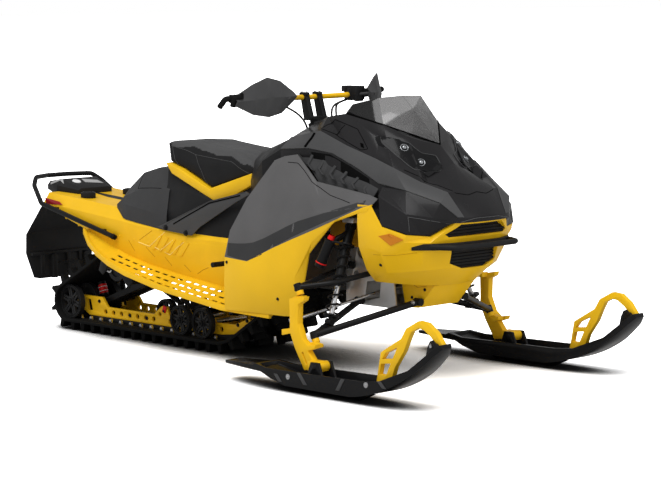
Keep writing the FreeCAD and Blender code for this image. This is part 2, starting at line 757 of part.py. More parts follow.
FASCIA_ROWS = [
    [(1220, 0, 654), (1200, 135, 646), (1122, 202, 588), (1088, 298, 599), (1000, 338, 628), (945, 341, 706)],
    [(1180, 0, 572), (1176, 130, 575), (1135, 215, 565), (1075, 300, 570), (990, 340, 590), (915, 344, 640)],
    [(1172, 0, 530), (1162, 132, 532), (1110, 232, 528), (1040, 300, 528), (985, 334, 530), (900, 338, 545)],
    [(1160, 0, 455), (1148, 115, 462), (1085, 205, 455), (1020, 262, 448), (975, 290, 446), (890, 297, 452)],
    [(1075, 0, 385), (1060, 100, 386), (1005, 165, 390), (965, 215, 396), (930, 246, 400), (880, 256, 406)],
]

UPPER_SIDE_ROWS = [
    [(330, 282, 848), (215, 335, 690), (145, 366, 560), (116, 372, 450)],
    [(400, 290, 868), (330, 335, 730), (280, 372, 560), (264, 381, 444)],
    [(475, 292, 878), (480, 330, 740), (430, 372, 590), (417, 379, 508)],
    [(545, 300, 824), (560, 332, 740), (540, 366, 640), (520, 373, 548)],
    [(600, 305, 778), (640, 330, 720), (650, 352, 660), (640, 360, 594)],
    [(895, 300, 740), (900, 318, 728), (905, 332, 714), (905, 343, 698)],
    [(952, 316, 730), (954, 325, 724), (952, 333, 717), (950, 341, 710)],
]

LOWER_SIDE_ROWS = [
    [(116, 372, 450), (108, 370, 340), (101, 362, 232)],
    [(264, 381, 444), (265, 378, 340), (265, 352, 234)],
    [(417, 379, 508), (430, 368, 380), (440, 340, 234)],
    [(520, 373, 548), (530, 362, 400), (515, 332, 238)],
    [(640, 360, 594), (622, 354, 545), (596, 346, 496)],
    [(770, 352, 646), (758, 350, 638), (738, 348, 628)],
    [(905, 343, 698), (895, 343, 686), (882, 343, 674)],
    [(950, 341, 710), (935, 342, 694), (915, 343, 676)],
]

VENT_ROWS = [
    [(425, 240, 886), (620, 238, 876), (795, 240, 820), (905, 256, 770)],
    [(480, 282, 866), (552, 284, 818), (602, 286, 766), (900, 284, 734)],
]


def make_vents():
    """Recessed vent panel with bent louvres across it, for the right side."""
    upper, lower = [points(row, -1) for row in VENT_ROWS]
    panel = slab([upper, lower], V(0, PANEL, -2))
    out = V(0, -VENT_RIB, VENT_RIB / 2)
    ribs = []
    for i in range(VENT_RIBS):
        share = (i + 0.7) / VENT_RIBS
        top = V(470 + 400 * share, -239, 884 - 108 * share)
        foot = V(520 + 360 * share, -284, 828 - 92 * share)
        bend = (top + foot) * 0.5 + V(-26, 0, -6)
        front = [p + V(12, 0, -3) for p in (top, bend, foot)]
        ribs.append(slab([[top, bend, foot], front], out))
    return panel.multiFuse(ribs)


def make_body(step):
    """Hood, console, side panels, nose frame, grilles, lamps and windshield."""
    fascia = block([whole_row(row) for row in FASCIA_ROWS], "x", BULKHEAD_FRONT + 2)
    hood = block([whole_row(row) for row in HOOD_ROWS], "z", 560)
    bay = box((300, BULKHEAD_FRONT + 2), (-500, 500), (500, 668))
    hood = hood.cut(bay).cut(box((BULKHEAD_FRONT, 1300), (-500, 500), (500, 640))).cut(fascia)
    cheeks = []
    for side in (-1, 1):
        rows = [points(row, side) for row in CHEEK_ROWS]
        cheek = slab(rows, V(-14, -side * 14, -8))
        cheeks.append(largest(cheek.cut(fascia)))
    for cheek in cheeks:
        hood = largest(hood.cut(cheek))
    write(Part.Compound(cheeks), "nose_cheeks")
    strips = []
    for side in (-1, 1):
        edges = [points([row[column] for row in HOOD_ROWS], side) for column in (3, 4)]
        strip = slab(edges, V(STRIP / 2, side * STRIP, STRIP))
        strips.append(largest(strip.cut(cheeks[0]).cut(cheeks[1]).cut(hood)))
    write(Part.Compound(strips), "hood_strips")

    lenses = []
    for side in (-1, 1):
        upper = points([(838, 190, 962), (905, 150, 948), (1052, 58, 846)], side)
        lower = points([(858, 200, 930), (945, 188, 880), (1040, 126, 806)], side)
        lenses.append(slab([upper, lower], V(-26, 0, -8)))
    for lens in lenses:
        hood = largest(hood.cut(lens))
    write(Part.Compound(lenses), "headlights")
    write(hood, "hood")

    upper_outline = [(-112, 632), (112, 632), (168, 596), (150, 584), (-150, 584), (-168, 596)]
    lower_outline = [(-128, 532), (128, 532), (125, 480), (62, 457), (-62, 457), (-125, 480)]
    grilles = []
    for outline, front in ((upper_outline, 1166), (lower_outline, 1143)):
        fascia = fascia.cut(prism_x(outline, front - 40, 1300))
        grille = prism_x(outline, front - 40, front)
        z = min(z for _, z in outline) + 8
        while z < max(z for _, z in outline) - 6:
            grille = grille.cut(box((front - 8, front + 1), (-200, 200), (z, z + 4)))
            z += 12
        grilles.append(grille)
    write(Part.Compound(grilles), "grilles")
    markers = []
    for side in (-1, 1):
        upper = points([(1094, 262, 588), (1030, 331, 598)], side)
        lower = points([(1080, 280, 566), (1060, 306, 568)], side)
        markers.append(slab([upper, lower], V(-14, 0, 0)))
    for marker in markers:
        fascia = fascia.cut(marker)
    write(Part.Compound(markers), "side_markers")

    plan = [(1084, -266), (1150, -205), (1190, -130), (1200, 0), (1190, 130), (1150, 205), (1084, 266), (1020, 0)]
    blade = prism_z(plan, 537, 562)
    tube_half = [(1120, -215, 549), (1232, -165, 549)]
    tube = bent_tube(tube_half + [(x, -y, z) for x, y, z in reversed(tube_half)], BUMPER_R, 40)
    bumper = blade.fuse(tube).cut(fascia)
    bumper = max(bumper.Solids, key=lambda solid: solid.BoundBox.XMax)
    write(bumper, "front_bumper")
    keel = prism_y([(893, 288), (965, 292), (1052, 384), (872, 396)], -KEEL_HALF_WIDTH, KEEL_HALF_WIDTH)
    write(fascia.fuse(keel), "nose_frame")

    console_rows = [
        [(60, 0, 868), (60, 110, 862), (60, 150, 830), (60, 176, 745)],
        [(140, 0, 896), (140, 115, 888), (150, 185, 850), (170, 240, 800)],
        [(240, 0, 931), (240, 110, 925), (240, 200, 890), (240, 270, 840)],
        [(345, 0, 962), (343, 150, 957), (345, 205, 935), (345, 262, 892)],
    ]
    console = block([whole_row(row) for row in console_rows], "z", 600)
    plinth = Part.makeCylinder(34, 70, V(*POST_FOOT) - post_axis() * 70.3, post_axis())
    write(console.fuse(plinth).cut(hood), "console")

    near_hood = hood.copy()
    near_hood.translate(V(0, -SEAT_GAP, SEAT_GAP))
    vents = make_vents().cut(near_hood)
    write(pair(largest(vents)), "vent_louvres")
    above = None
    for rows, name in ((UPPER_SIDE_ROWS, "upper_side_panels"), (LOWER_SIDE_ROWS, "lower_side_panels")):
        panel = slab([points(row, -1) for row in rows], V(0, PANEL, 0))
        panel = panel.cut(fascia).cut(cheeks[0]).cut(hood).cut(vents)
        if above:
            panel = panel.cut(above).cut(step)
        above = largest(panel)
        write(pair(above), name)

    top = whole_row([(778, 0, 1106), (762, 118, 1101), (688, 186, 1077)])
    base = whole_row([(980, 0, 922.3), (822, 152, 1000.3), (652, 188, 1041.3)])
    write(largest(slab([top, base], V(-SHEET, 0, 1)).cut(hood)), "windshield")


def post_axis():
    """Direction of the steering post, leaning back."""
    lean = math.radians(POST_LEAN)
    return V(-math.sin(lean), 0, math.cos(lean))


def make_front_chassis():
    """Engine block, bulkhead plates and belly plate."""
    engine = box((TUNNEL_FRONT, BULKHEAD_REAR), (-ENGINE_HALF, ENGINE_HALF), ENGINE_Z)
    write(engine, "engine_block")
    outline = [
        (BULKHEAD_REAR, BULKHEAD_FLOOR), (BULKHEAD_FRONT + 12, BULKHEAD_FLOOR), (BULKHEAD_FRONT, 396),
        (BULKHEAD_FRONT, 640), (700, 640), (BULKHEAD_REAR, 520),
    ]
    plate = prism_y(outline, BULKHEAD_HALF - BULKHEAD_PLATE, BULKHEAD_HALF)
    window = [(x, z) for x, z in ((706, 300), (790, 320), (800, 392), (720, 380))]
    plate = plate.cut(prism_y(window, 0, 300))
    for x, z, r in ((700, 500, 34), (790, 520, 40), (660, 400, 18), (820, 600, 14)):
        plate = plate.cut(disc_y(x, z, r, 0, 300))
    rear = box((BULKHEAD_REAR, BULKHEAD_REAR + 8), (-BULKHEAD_HALF, BULKHEAD_HALF), (BULKHEAD_FLOOR, 520))
    head = SHOCK_TOP[2] + 16 + SEAT_GAP
    tower = prism_y([(705, head), (765, head), (768, 640), (700, 640)], BULKHEAD_HALF, SHOCK_TOP[1] + 16)
    bulkhead = rear.multiFuse([plate, mirror(plate), tower, mirror(tower)])
    belly = box((BULKHEAD_REAR, 880), (-BULKHEAD_HALF, BULKHEAD_HALF), (BULKHEAD_FLOOR - 6, BULKHEAD_FLOOR + 1))
    write(bulkhead.fuse(belly), "front_bulkhead")


def kingpin():
    """Direction from the lower ball joint to the upper one."""
    return (right(UPPER_BALL) - right(LOWER_BALL)).normalize()


def bush(x, y, z):
    """A pivot bush lying along X."""
    return Part.makeCylinder(BUSH_R, BUSH_LONG, V(x - BUSH_LONG / 2, y, z), V(1, 0, 0))


def make_arms():
    """Upper and lower suspension arms with their ball housings."""
    up = kingpin()
    keel_y = -KEEL_HALF_WIDTH - BUSH_R
    wall_y = -BULKHEAD_HALF - BUSH_R
    low = right(LOWER_BALL)
    parts = [Part.makeCylinder(BALL_R, 2 * BALL_R, low - up * BALL_R, up)]
    for (x, z), y in ((LOWER_FRONT, keel_y), (LOWER_REAR, wall_y)):
        parts.append(rod(low, (x, y, z), ARM_R))
        parts.append(bush(x, y, z))
    foot = right(SHOCK_FOOT)
    tie = box((foot.x - 36, foot.x + 42), (foot.y - 14, foot.y + 14), (foot.z - 30, foot.z - 14))
    parts.append(tie)
    lower = parts[0].multiFuse(parts[1:])
    write(pair(lower), "lower_arms")
    high = right(UPPER_BALL)
    housing = Part.makeCylinder(BALL_R, 2 * BALL_R, high - up * BALL_R, up)
    front = bent_tube([tuple(high), (790, -400, 402), (UPPER_FRONT[0], wall_y, UPPER_FRONT[1])], UPPER_ARM_R, 60)
    rear = rod(high, (UPPER_REAR[0], wall_y, UPPER_REAR[1]), UPPER_ARM_R)
    bushes = [bush(UPPER_FRONT[0], wall_y, UPPER_FRONT[1]), bush(UPPER_REAR[0], wall_y, UPPER_REAR[1])]
    upper = housing.multiFuse([front, rear] + bushes)
    write(pair(upper), "upper_arms")
    return lower


def make_shocks(lower_arm):
    """Front dampers with a side reservoir, and their coil springs."""
    foot = right(SHOCK_FOOT)
    top = right(SHOCK_TOP)
    along = (top - foot).normalize()
    reach = (top - foot).Length
    body = rod(foot + along * 170, top, SHOCK_R)
    shaft = rod(foot, foot + along * 175, 8)
    eye = Part.makeCylinder(14, 30, foot - V(15, 0, 0), V(1, 0, 0))
    head = Part.makeCylinder(16, 34, top - V(17, 0, 0), V(1, 0, 0))
    perch = Part.makeCylinder(SPRING_R + 6, 6, foot + along * 22, along)
    collar = Part.makeCylinder(SPRING_R + 6, 6, foot + along * (reach - 80), along)
    can = rod((664, -352, 452), (704, -330, 556), 21)
    bridge = rod((700, -332, 546), tuple(top - along * 26), 12)
    shock = body.multiFuse([shaft, eye, head, perch, collar, can, bridge])
    shock = shock.cut(lower_arm)
    span = reach - 80 - 28
    helix = Part.makeHelix((span - 2 * SPRING_WIRE) / SPRING_TURNS, span - 2 * SPRING_WIRE, SPRING_R)
    start = helix.Edges[0].valueAt(helix.Edges[0].FirstParameter)
    w = SPRING_WIRE
    ring = Part.makePolygon([start + V(*p) for p in ((w, 0, 0), (0, 0, w), (-w, 0, 0), (0, 0, -w), (w, 0, 0))])
    spring = Part.Wire(helix.Edges).makePipeShell([ring], True, True)
    turn = FreeCAD.Rotation(V(0, 0, 1), along)
    spring.Placement = FreeCAD.Placement(foot + along * (28 + w), turn)
    write(pair(shock), "front_shocks")
    write(pair(spring), "front_springs")


def make_spindle():
    """Forged upright: a column outboard of the ball joints, two bosses and a steering arm."""
    up = kingpin()
    column = prism_y([
        (700, 348), (785, 362), (780, 346), (750, 330), (746, 254), (772, 196), (800, 176), (846, 184),
        (840, 168), (800, 156), (852, 92), (780, 80), (726, 164), (700, 222), (702, 250),
    ], -546, -519)
    slot = prism_y([(766, 146), (774, 150), (800, 106), (792, 102)], -560, -532)
    column = column.cut(slot)
    pieces = []
    for ball, flange in ((right(UPPER_BALL), UPPER_FLANGE), (right(LOWER_BALL), LOWER_FLANGE)):
        boss = Part.makeCylinder(BALL_R, 16, ball - up * (BALL_R + SEAT_GAP + 16), up)
        pieces.append(boss)
        pieces.append(prism_y(flange, -524, -490))
    arm = prism_y([(728, 216), (728, 238), (652, 222), (648, 206)], -533, -519)
    tip_point = V(TIE_EYE[0], -TIE_EYE[1], TIE_EYE[2])
    pad = Part.makeCylinder(12, 12, tip_point - up * (BALL_R + 12), up)
    link = prism_y([(676, 228), (676, 208), (640, 200), (640, 222)], -533, -490)
    foot = box((SKI_PIVOT[0] - 50, SKI_PIVOT[0] + 12), (-SKI_Y - FOOT_HALF, -SKI_Y + FOOT_HALF), (86, 122))
    hub = disc_y(SKI_PIVOT[0], SKI_PIVOT[1], 20, -SKI_Y - FOOT_HALF, -SKI_Y + FOOT_HALF)
    spindle = column.multiFuse(pieces + [arm, pad, link, foot, hub])
    return spindle.cut(disc_y(SKI_PIVOT[0], SKI_PIVOT[1], SKI_BOLT_R + SEAT_GAP, -700, -400))


UPPER_FLANGE = [(690, 346), (700, 353), (740, 358), (740, 338), (700, 336)]
LOWER_FLANGE = [(776, 172), (792, 186), (830, 180), (830, 168), (800, 158)]
TIE_EYE = (652, 490, 252)
FOOT_HALF = 26.0


def make_steering_links():
    """Tie rods with their outer eyes, and the centre link that joins them."""
    up = kingpin()
    eye = V(TIE_EYE[0], -TIE_EYE[1], TIE_EYE[2])
    inner = V(770, -70, 350)
    link = disc_y(inner.x, inner.z, 10, -70, 70)
    parts = []
    for side in (-1, 1):
        start = V(eye.x, -side * eye.y, eye.z)
        end = V(inner.x, -side * inner.y, inner.z)
        parts.append(rod(start, end, 6))
        base = start - up * (BALL_R - SEAT_GAP)
        parts.append(Part.makeCylinder(11, 2 * BALL_R - 6, base, up))
    write(link.multiFuse(parts), "tie_rods")


def make_ski():
    """Plastic ski: flat pan, side walls, keel and a curled tip, for the right side."""
    tail_x, tail_z = SKI_TAIL
    tip_x, tip_z = SKI_TIP
    start, end = SKI_FLAT
    bottom = SKI_PAN - SKI_PAN_THICK

    def profile(lift, wall):
        """Side outline between the underside and a line above it."""
        under = [V(tail_x, 0, tail_z), V(600, 0, 62), V(650, 0, 45), V(start, 0, bottom), V(end, 0, bottom)]
        edges = [Part.makeLine(a, b) for a, b in zip(under, under[1:])]
        edges.append(Part.Arc(V(end, 0, bottom), V(1345, 0, 98), V(tip_x, 0, tip_z - 14)).toShape())
        top = [
            V(tip_x, 0, tip_z - 14), V(tip_x - 10, 0, tip_z), V(1400, 0, 146 + lift), V(1250, 0, 66 + lift + wall * 0.4),
            V(end + 60, 0, bottom + lift + wall), V(640, 0, bottom + lift + wall - 8),
            V(560, 0, bottom + lift + wall + 2), V(540, 0, tail_z + 16), V(tail_x, 0, tail_z + 12), V(tail_x, 0, tail_z),
        ]
        edges += [Part.makeLine(a, b) for a, b in zip(top, top[1:])]
        return Part.Face(Part.Wire(edges))

    wall = SKI_WALL_TOP - SKI_PAN
    body = profile(SKI_PAN_THICK, wall).extrude(V(0, 2 * SKI_HALF, 0))
    body.translate(V(0, -SKI_Y - SKI_HALF, 0))
    plan = [
        (tail_x - 5, -SKI_Y - 38), (tail_x + 130, -SKI_Y - SKI_HALF + 18), (650, -SKI_Y - SKI_HALF),
        (end + 120, -SKI_Y - SKI_HALF), (1400, -SKI_Y - 66), (tip_x - 30, -SKI_Y - 44), (tip_x + 1, -SKI_Y - 22),
    ]
    plan += [(x, -2 * SKI_Y - y) for x, y in reversed(plan)]
    body = body.common(prism_z(plan, -50, 400))
    inside = [(570, -SKI_Y - 46), (640, -SKI_Y - SKI_HALF + SKI_WALL + 4), (end + 110, -SKI_Y - SKI_HALF + SKI_WALL),
              (1400, -SKI_Y - 52), (1440, -SKI_Y - 40)]
    inside += [(x, -2 * SKI_Y - y) for x, y in reversed(inside)]
    trough = prism_y([
        (570, 76), (660, 56), (start + 20, SKI_PAN), (end, SKI_PAN), (end + 90, SKI_PAN + 12), (1250, SKI_PAN + 38),
        (1350, 114), (1450, 190), (1400, 300), (570, 300),
    ], -SKI_Y - SKI_HALF, -SKI_Y + SKI_HALF)
    trough = trough.common(prism_z(inside, -50, 400))
    body = body.cut(trough)
    keel_line = [(start - 20, bottom + 8), (start + 40, 0), (end - 10, 0), (end + 60, bottom + 6)]
    keel = prism_y(keel_line, -SKI_Y - KEEL_HALF, -SKI_Y + KEEL_HALF)
    saddle = []
    for side in (-1, 1):
        y = -SKI_Y + side * (FOOT_HALF + 1 + 5)
        cheek = prism_y([
            (SKI_PIVOT[0] - 60, SKI_PAN - 2), (SKI_PIVOT[0] + 60, SKI_PAN - 2), (SKI_PIVOT[0] + 22, SKI_PIVOT[1] + 18),
            (SKI_PIVOT[0] - 22, SKI_PIVOT[1] + 18),
        ], y - 5, y + 5)
        saddle.append(cheek)
    bolt = disc_y(SKI_PIVOT[0], SKI_PIVOT[1], SKI_BOLT_R, -SKI_Y - FOOT_HALF - 14, -SKI_Y + FOOT_HALF + 14)
    ski = body.multiFuse([keel, bolt] + saddle)
    tip_pad = prism_y([(1440, 186), (1475, 262), (1500, 256), (1520, 236), (1500, 222)], -SKI_Y - 20, -SKI_Y + 20)
    ski = ski.fuse(tip_pad)
    outline = [
        (1176, SKI_PAN + 24), (1205, 195), (1311, 255), (1338, 296), (1401, 329), (1445, 325), (1490, 294),
        (1524, 250), (1506, 236), (1463, 278), (1428, 299), (1401, 303), (1365, 286), (1347, 255),
        (1324, 208), (1279, 148), (1250, 76),
    ]
    loop = prism_y(outline, -SKI_Y - LOOP_THICK / 2, -SKI_Y + LOOP_THICK / 2)
    for window in ([(1210, 170), (1230, 194), (1292, 222), (1266, 176)], [(1196, 112), (1206, 152), (1256, 158), (1232, 112)]):
        loop = loop.cut(prism_y(window, -SKI_Y - 50, -SKI_Y + 50))
    loop = loop.cut(ski)
    loop = max(loop.Solids, key=lambda solid: solid.Volume)
    return ski, loop


def make_handlebar():
    """Post, riser, bar, grips, guards and controls that turn together."""
    up = post_axis()
    foot = V(*POST_FOOT)
    reach = (BAR_HEIGHT - foot.z) / up.z
    clamp = foot + up * reach
    half = [(200, -GRIP_Y[1], BAR_HEIGHT + 6), (296, -150, BAR_HEIGHT + 4), (clamp.x, -70, BAR_HEIGHT)]
    line = half + [(x, -y, z) for x, y, z in reversed(half)]
    bar = bent_tube(line, BAR_R, 40)
    post = Part.makeCylinder(24, 22, foot, up)
    blocks = []
    for side in (-1, 1):
        y = side * 36
        leg = prism_y([
            (clamp.x - 16, BAR_HEIGHT + 16), (clamp.x + 16, BAR_HEIGHT + 16), (foot.x + 20, foot.z + 12),
            (foot.x - 22, foot.z + 12),
        ], y - 11, y + 11)
        blocks.append(leg)
    floor = box((foot.x - 22, foot.x + 20), (-47, 47), (foot.z + 10, foot.z + 26))
    riser = post.multiFuse(blocks + [floor]).cut(bar)
    write(bar, "handlebar")
    write(riser, "riser")
    along = (V(*half[0]) - V(*half[1])).normalize()
    grip_end = V(*half[0])
    outer = Part.makeCylinder(GRIP_R, 128, grip_end - along * 120, along)
    hook = bent_tube([tuple(grip_end), tuple(grip_end + along * 26), tuple(grip_end + along * 34 + V(-26, 0, -34))], 12, 14)
    grip = outer.fuse(hook).cut(bar)
    write(pair(grip), "grips")
    stations = []
    for y, x, below, above in GUARD_LINE:
        low, high = BAR_HEIGHT - below, BAR_HEIGHT + above
        middle = (low + high) / 2
        stations.append((y, [(x, low), (x + 14, middle), (x - 6, high), (x - 12, high), (x + 8, middle), (x - 6, low)]))
    guard = loft_y(stations)
    arm = rod((290, -168, BAR_HEIGHT + 4), (374, -240, BAR_HEIGHT + 10), 7)
    guard = guard.fuse(arm).cut(bar)
    write(pair(guard), "handguards")
    throttle = box((262, 312), (-218, -178), (BAR_HEIGHT - 20, BAR_HEIGHT + 30)).cut(bar)
    throttle = throttle.cut(guard)
    brake = box((262, 330), (170, 222), (BAR_HEIGHT - 16, BAR_HEIGHT + 40)).cut(bar).cut(mirror(guard))
    write(Part.Compound([max(throttle.Solids, key=lambda s: s.Volume), max(brake.Solids, key=lambda s: s.Volume)]),
          "hand_controls")


def loft_y(stations):
    """A ruled solid through X-Z outlines at given Y."""
    wires = []
    for y, outline in stations:
        wires.append(Part.makePolygon([V(x, y, z) for x, z in outline + outline[:1]]))
    return Part.makeLoft(wires, True, True)


GUARD_LINE = [
    # y, x, reach below and above the bar
    (-205, 372, 1, 31),
    (-262, 354, 53, 77),
    (-305, 328, 68, 91),
    (-350, 288, 59, 63),
    (-400, 236, 23, 15),
]


def main():
    """Build every sub-part and write it."""
    os.makedirs("parts", exist_ok=True)
    write(make_track(), "track")
    make_wheels()
    make_drive()
    make_rails()
    make_rear_suspension()
    tunnel_block = make_tunnel()
    step = make_running_board()
    make_rear_end(tunnel_block)
    make_seat(tunnel_block)
    make_body(step)
    make_front_chassis()
    lower_arm = make_arms()
    make_shocks(lower_arm)
    make_steering_links()
    make_handlebar()
    spindle = make_spindle()
    ski, loop = make_ski()
    for suffix, place in (("right", lambda s: s), ("left", mirror)):
        write(place(spindle), "spindle_" + suffix)
        write(place(ski), "ski_" + suffix)
        write(place(loop), "ski_loop_" + suffix)


main()
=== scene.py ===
"""Finishes, fittings, light and camera of a trail snowmobile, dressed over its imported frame."""
import json
import logging
import math
from collections.abc import Sequence
from dataclasses import dataclass
from enum import Enum
from functools import cache

import bmesh
import bpy
from mathutils import Matrix, Vector
from mathutils.bvhtree import BVHTree

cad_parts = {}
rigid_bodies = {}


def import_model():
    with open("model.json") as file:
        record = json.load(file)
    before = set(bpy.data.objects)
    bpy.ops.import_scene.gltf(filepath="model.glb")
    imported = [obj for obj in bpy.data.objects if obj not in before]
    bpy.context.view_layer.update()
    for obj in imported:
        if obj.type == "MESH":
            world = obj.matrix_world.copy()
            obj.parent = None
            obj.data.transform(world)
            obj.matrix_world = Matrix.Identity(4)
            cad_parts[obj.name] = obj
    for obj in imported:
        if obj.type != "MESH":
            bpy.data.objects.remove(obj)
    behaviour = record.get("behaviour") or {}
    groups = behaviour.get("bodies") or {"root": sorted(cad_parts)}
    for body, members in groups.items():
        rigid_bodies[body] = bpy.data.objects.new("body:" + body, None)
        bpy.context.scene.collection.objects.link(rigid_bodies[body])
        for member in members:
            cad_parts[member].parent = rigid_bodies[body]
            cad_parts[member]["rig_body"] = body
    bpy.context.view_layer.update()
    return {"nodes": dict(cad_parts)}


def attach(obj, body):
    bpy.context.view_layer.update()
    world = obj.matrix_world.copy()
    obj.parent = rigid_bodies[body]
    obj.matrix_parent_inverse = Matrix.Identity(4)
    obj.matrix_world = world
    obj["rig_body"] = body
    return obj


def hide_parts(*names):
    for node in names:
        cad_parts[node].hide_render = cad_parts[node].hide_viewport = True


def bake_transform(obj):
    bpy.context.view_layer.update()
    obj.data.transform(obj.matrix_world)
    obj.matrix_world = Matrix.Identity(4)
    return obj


LOG = logging.getLogger("snowmobile")
MM = 0.001
SIDES = {-1: "_right", 1: "_left"}
ACROSS = Vector((0.0, 1.0, 0.0))
UP = Vector((0.0, 0.0, 1.0))

WELD = 2e-5  # corners of a frame mesh that are nearer than this are one
LINE_STEP = 0.012  # between the points of a line on a surface
TUBE_SMOOTH_DEG = 40.0
PATCH_STEPS, PATCH_ROWS = 12, 6
PATCH_REACH = 0.08  # how far off a patch looks for the surface under it
PATCH_WALL = 0.0025

Point = tuple[float, float, float]
Line = Sequence[Point]
Outline = Sequence[tuple[float, float]]
Shape = bmesh.types.BMesh


# Shader nodes and the effects that materials share


def set_inputs(tree: bpy.types.NodeTree, node: bpy.types.Node, inputs: dict) -> None:
    """Give a node's inputs their values or links.

    Args:
        tree: Tree that holds the node.
        node: The node.
        inputs: For each input, its value or the output that feeds it.
    """
    for label, value in inputs.items():
        if isinstance(value, bpy.types.NodeSocket):
            tree.links.new(value, node.inputs[label])
        else:
            node.inputs[label].default_value = value


def add_node(tree: bpy.types.NodeTree, kind: str, inputs: dict | None = None, **settings: object) -> bpy.types.Node:
    """Add a node to a tree.

    Args:
        tree: Tree that gets the node.
        kind: Its type, without the leading word ShaderNode.
        inputs: For each input, its value or the output that feeds it.
        settings: The node's own settings.

    Returns:
        The node.
    """
    node = tree.nodes.new("ShaderNode" + kind)
    for label, value in settings.items():
        setattr(node, label, value)
    set_inputs(tree, node, inputs or {})
    return node


def effect_group(name: str, inputs: dict[str, float], output: str) -> bpy.types.NodeTree:
    """Start a node group with named sockets.

    Args:
        name: Name of the group.
        inputs: Names of its inputs and their default values.
        output: Name of its one output.

    Returns:
        The group, with its nodes In and Out in place.
    """
    group = bpy.data.node_groups.new(name, "ShaderNodeTree")
    for label, value in inputs.items():
        socket = group.interface.new_socket(name=label, in_out="INPUT", socket_type="NodeSocketFloat")
        socket.default_value = value
    group.interface.new_socket(name=output, in_out="OUTPUT", socket_type="NodeSocketFloat")
    group.nodes.new("NodeGroupInput").name = "In"
    group.nodes.new("NodeGroupOutput").name = "Out"
    return group


@cache
def mottle_effect() -> bpy.types.NodeTree:
    """Build the slow change of tone and gloss over a moulded or painted surface.

    Returns:
        The group.
    """
    group = effect_group("mottle", {"Scale": 6.0, "Low": 0.9, "High": 1.1}, "Tone")
    given = group.nodes["In"].outputs
    place = add_node(group, "TexCoord")
    noise = add_node(group, "TexNoise", {"Vector": place.outputs["Object"], "Scale": given["Scale"], "Detail": 3.0})
    spread = add_node(group, "MapRange", {"Value": noise.outputs["Fac"], "From Min": 0.3, "From Max": 0.7,
                                          "To Min": given["Low"], "To Max": given["High"]})
    set_inputs(group, group.nodes["Out"], {"Tone": spread.outputs["Result"]})
    return group


@cache
def grain_effect() -> bpy.types.NodeTree:
    """Build the fine pebble of moulded plastic, cast metal or rubber, as a height.

    Returns:
        The group.
    """
    group = effect_group("grain", {"Scale": 900.0, "Depth": 1.0}, "Height")
    given = group.nodes["In"].outputs
    place = add_node(group, "TexCoord")
    spots = {"Vector": place.outputs["Object"], "Scale": given["Scale"]}
    noise = add_node(group, "TexNoise", {**spots, "Detail": 2.0})
    pebble = add_node(group, "TexVoronoi", spots, feature="SMOOTH_F1")
    both = add_node(group, "Math", {0: noise.outputs["Fac"], 1: pebble.outputs["Distance"]}, operation="ADD")
    depth = add_node(group, "Math", {0: both.outputs[0], 1: given["Depth"]}, operation="MULTIPLY")
    set_inputs(group, group.nodes["Out"], {"Height": depth.outputs[0]})
    return group


@cache
def painted_edge_highlight_effect() -> bpy.types.NodeTree:
    """Build the mask of a painted highlight, which rises where a surface turns over an edge.

    Returns:
        The group.
    """
    group = effect_group("painted_edge_highlight_mask", {"Width": 0.003, "Amount": 0.4}, "Mask")
    given = group.nodes["In"].outputs
    rounded = add_node(group, "Bevel", {"Radius": given["Width"]}, samples=4)
    flat = add_node(group, "NewGeometry")
    turn = add_node(group, "VectorMath", {0: rounded.outputs["Normal"], 1: flat.outputs["Normal"]},
                    operation="DOT_PRODUCT")
    spread = add_node(group, "MapRange", {"Value": turn.outputs["Value"], "From Min": 0.995, "From Max": 0.85,
                                          "To Min": 0.0, "To Max": given["Amount"]})
    set_inputs(group, group.nodes["Out"], {"Mask": spread.outputs["Result"]})
    return group


# Finishes


@dataclass(frozen=True)
class BaseFinish:
    """What every finish has: a colour and a gloss that wander a little over the surface."""

    name: str
    colour: Point
    roughness: float

    def start(self, tone: Point, gloss: Point, values: dict[str, float]) -> bpy.types.Material:
        """Start the material.

        Args:
            tone: Scale of the change of tone, with its least and its most.
            gloss: Scale of the change of gloss, with its least and its most as shares of the roughness.
            values: Plain values of the shader's inputs.

        Returns:
            The material, whose plain colour comes from its node named shade.
        """
        material = bpy.data.materials.new(self.name + "_finish")
        material.use_nodes = True
        tree = material.node_tree
        wander = []
        for scale, low, high in (tone, (gloss[0], self.roughness * gloss[1], self.roughness * gloss[2])):
            node = add_node(tree, "Group", node_tree=mottle_effect())
            set_inputs(tree, node, {"Scale": scale, "Low": low, "High": high})
            wander.append(node.outputs["Tone"])
        shade = add_node(tree, "Mix", {"Factor": 1.0, "A": (*self.colour, 1.0), "B": wander[0]},
                         data_type="RGBA", blend_type="MULTIPLY")
        shade.name = "shade"
        set_inputs(tree, tree.nodes["Principled BSDF"],
                   {**values, "Base Color": shade.outputs["Result"], "Roughness": wander[1]})
        return material


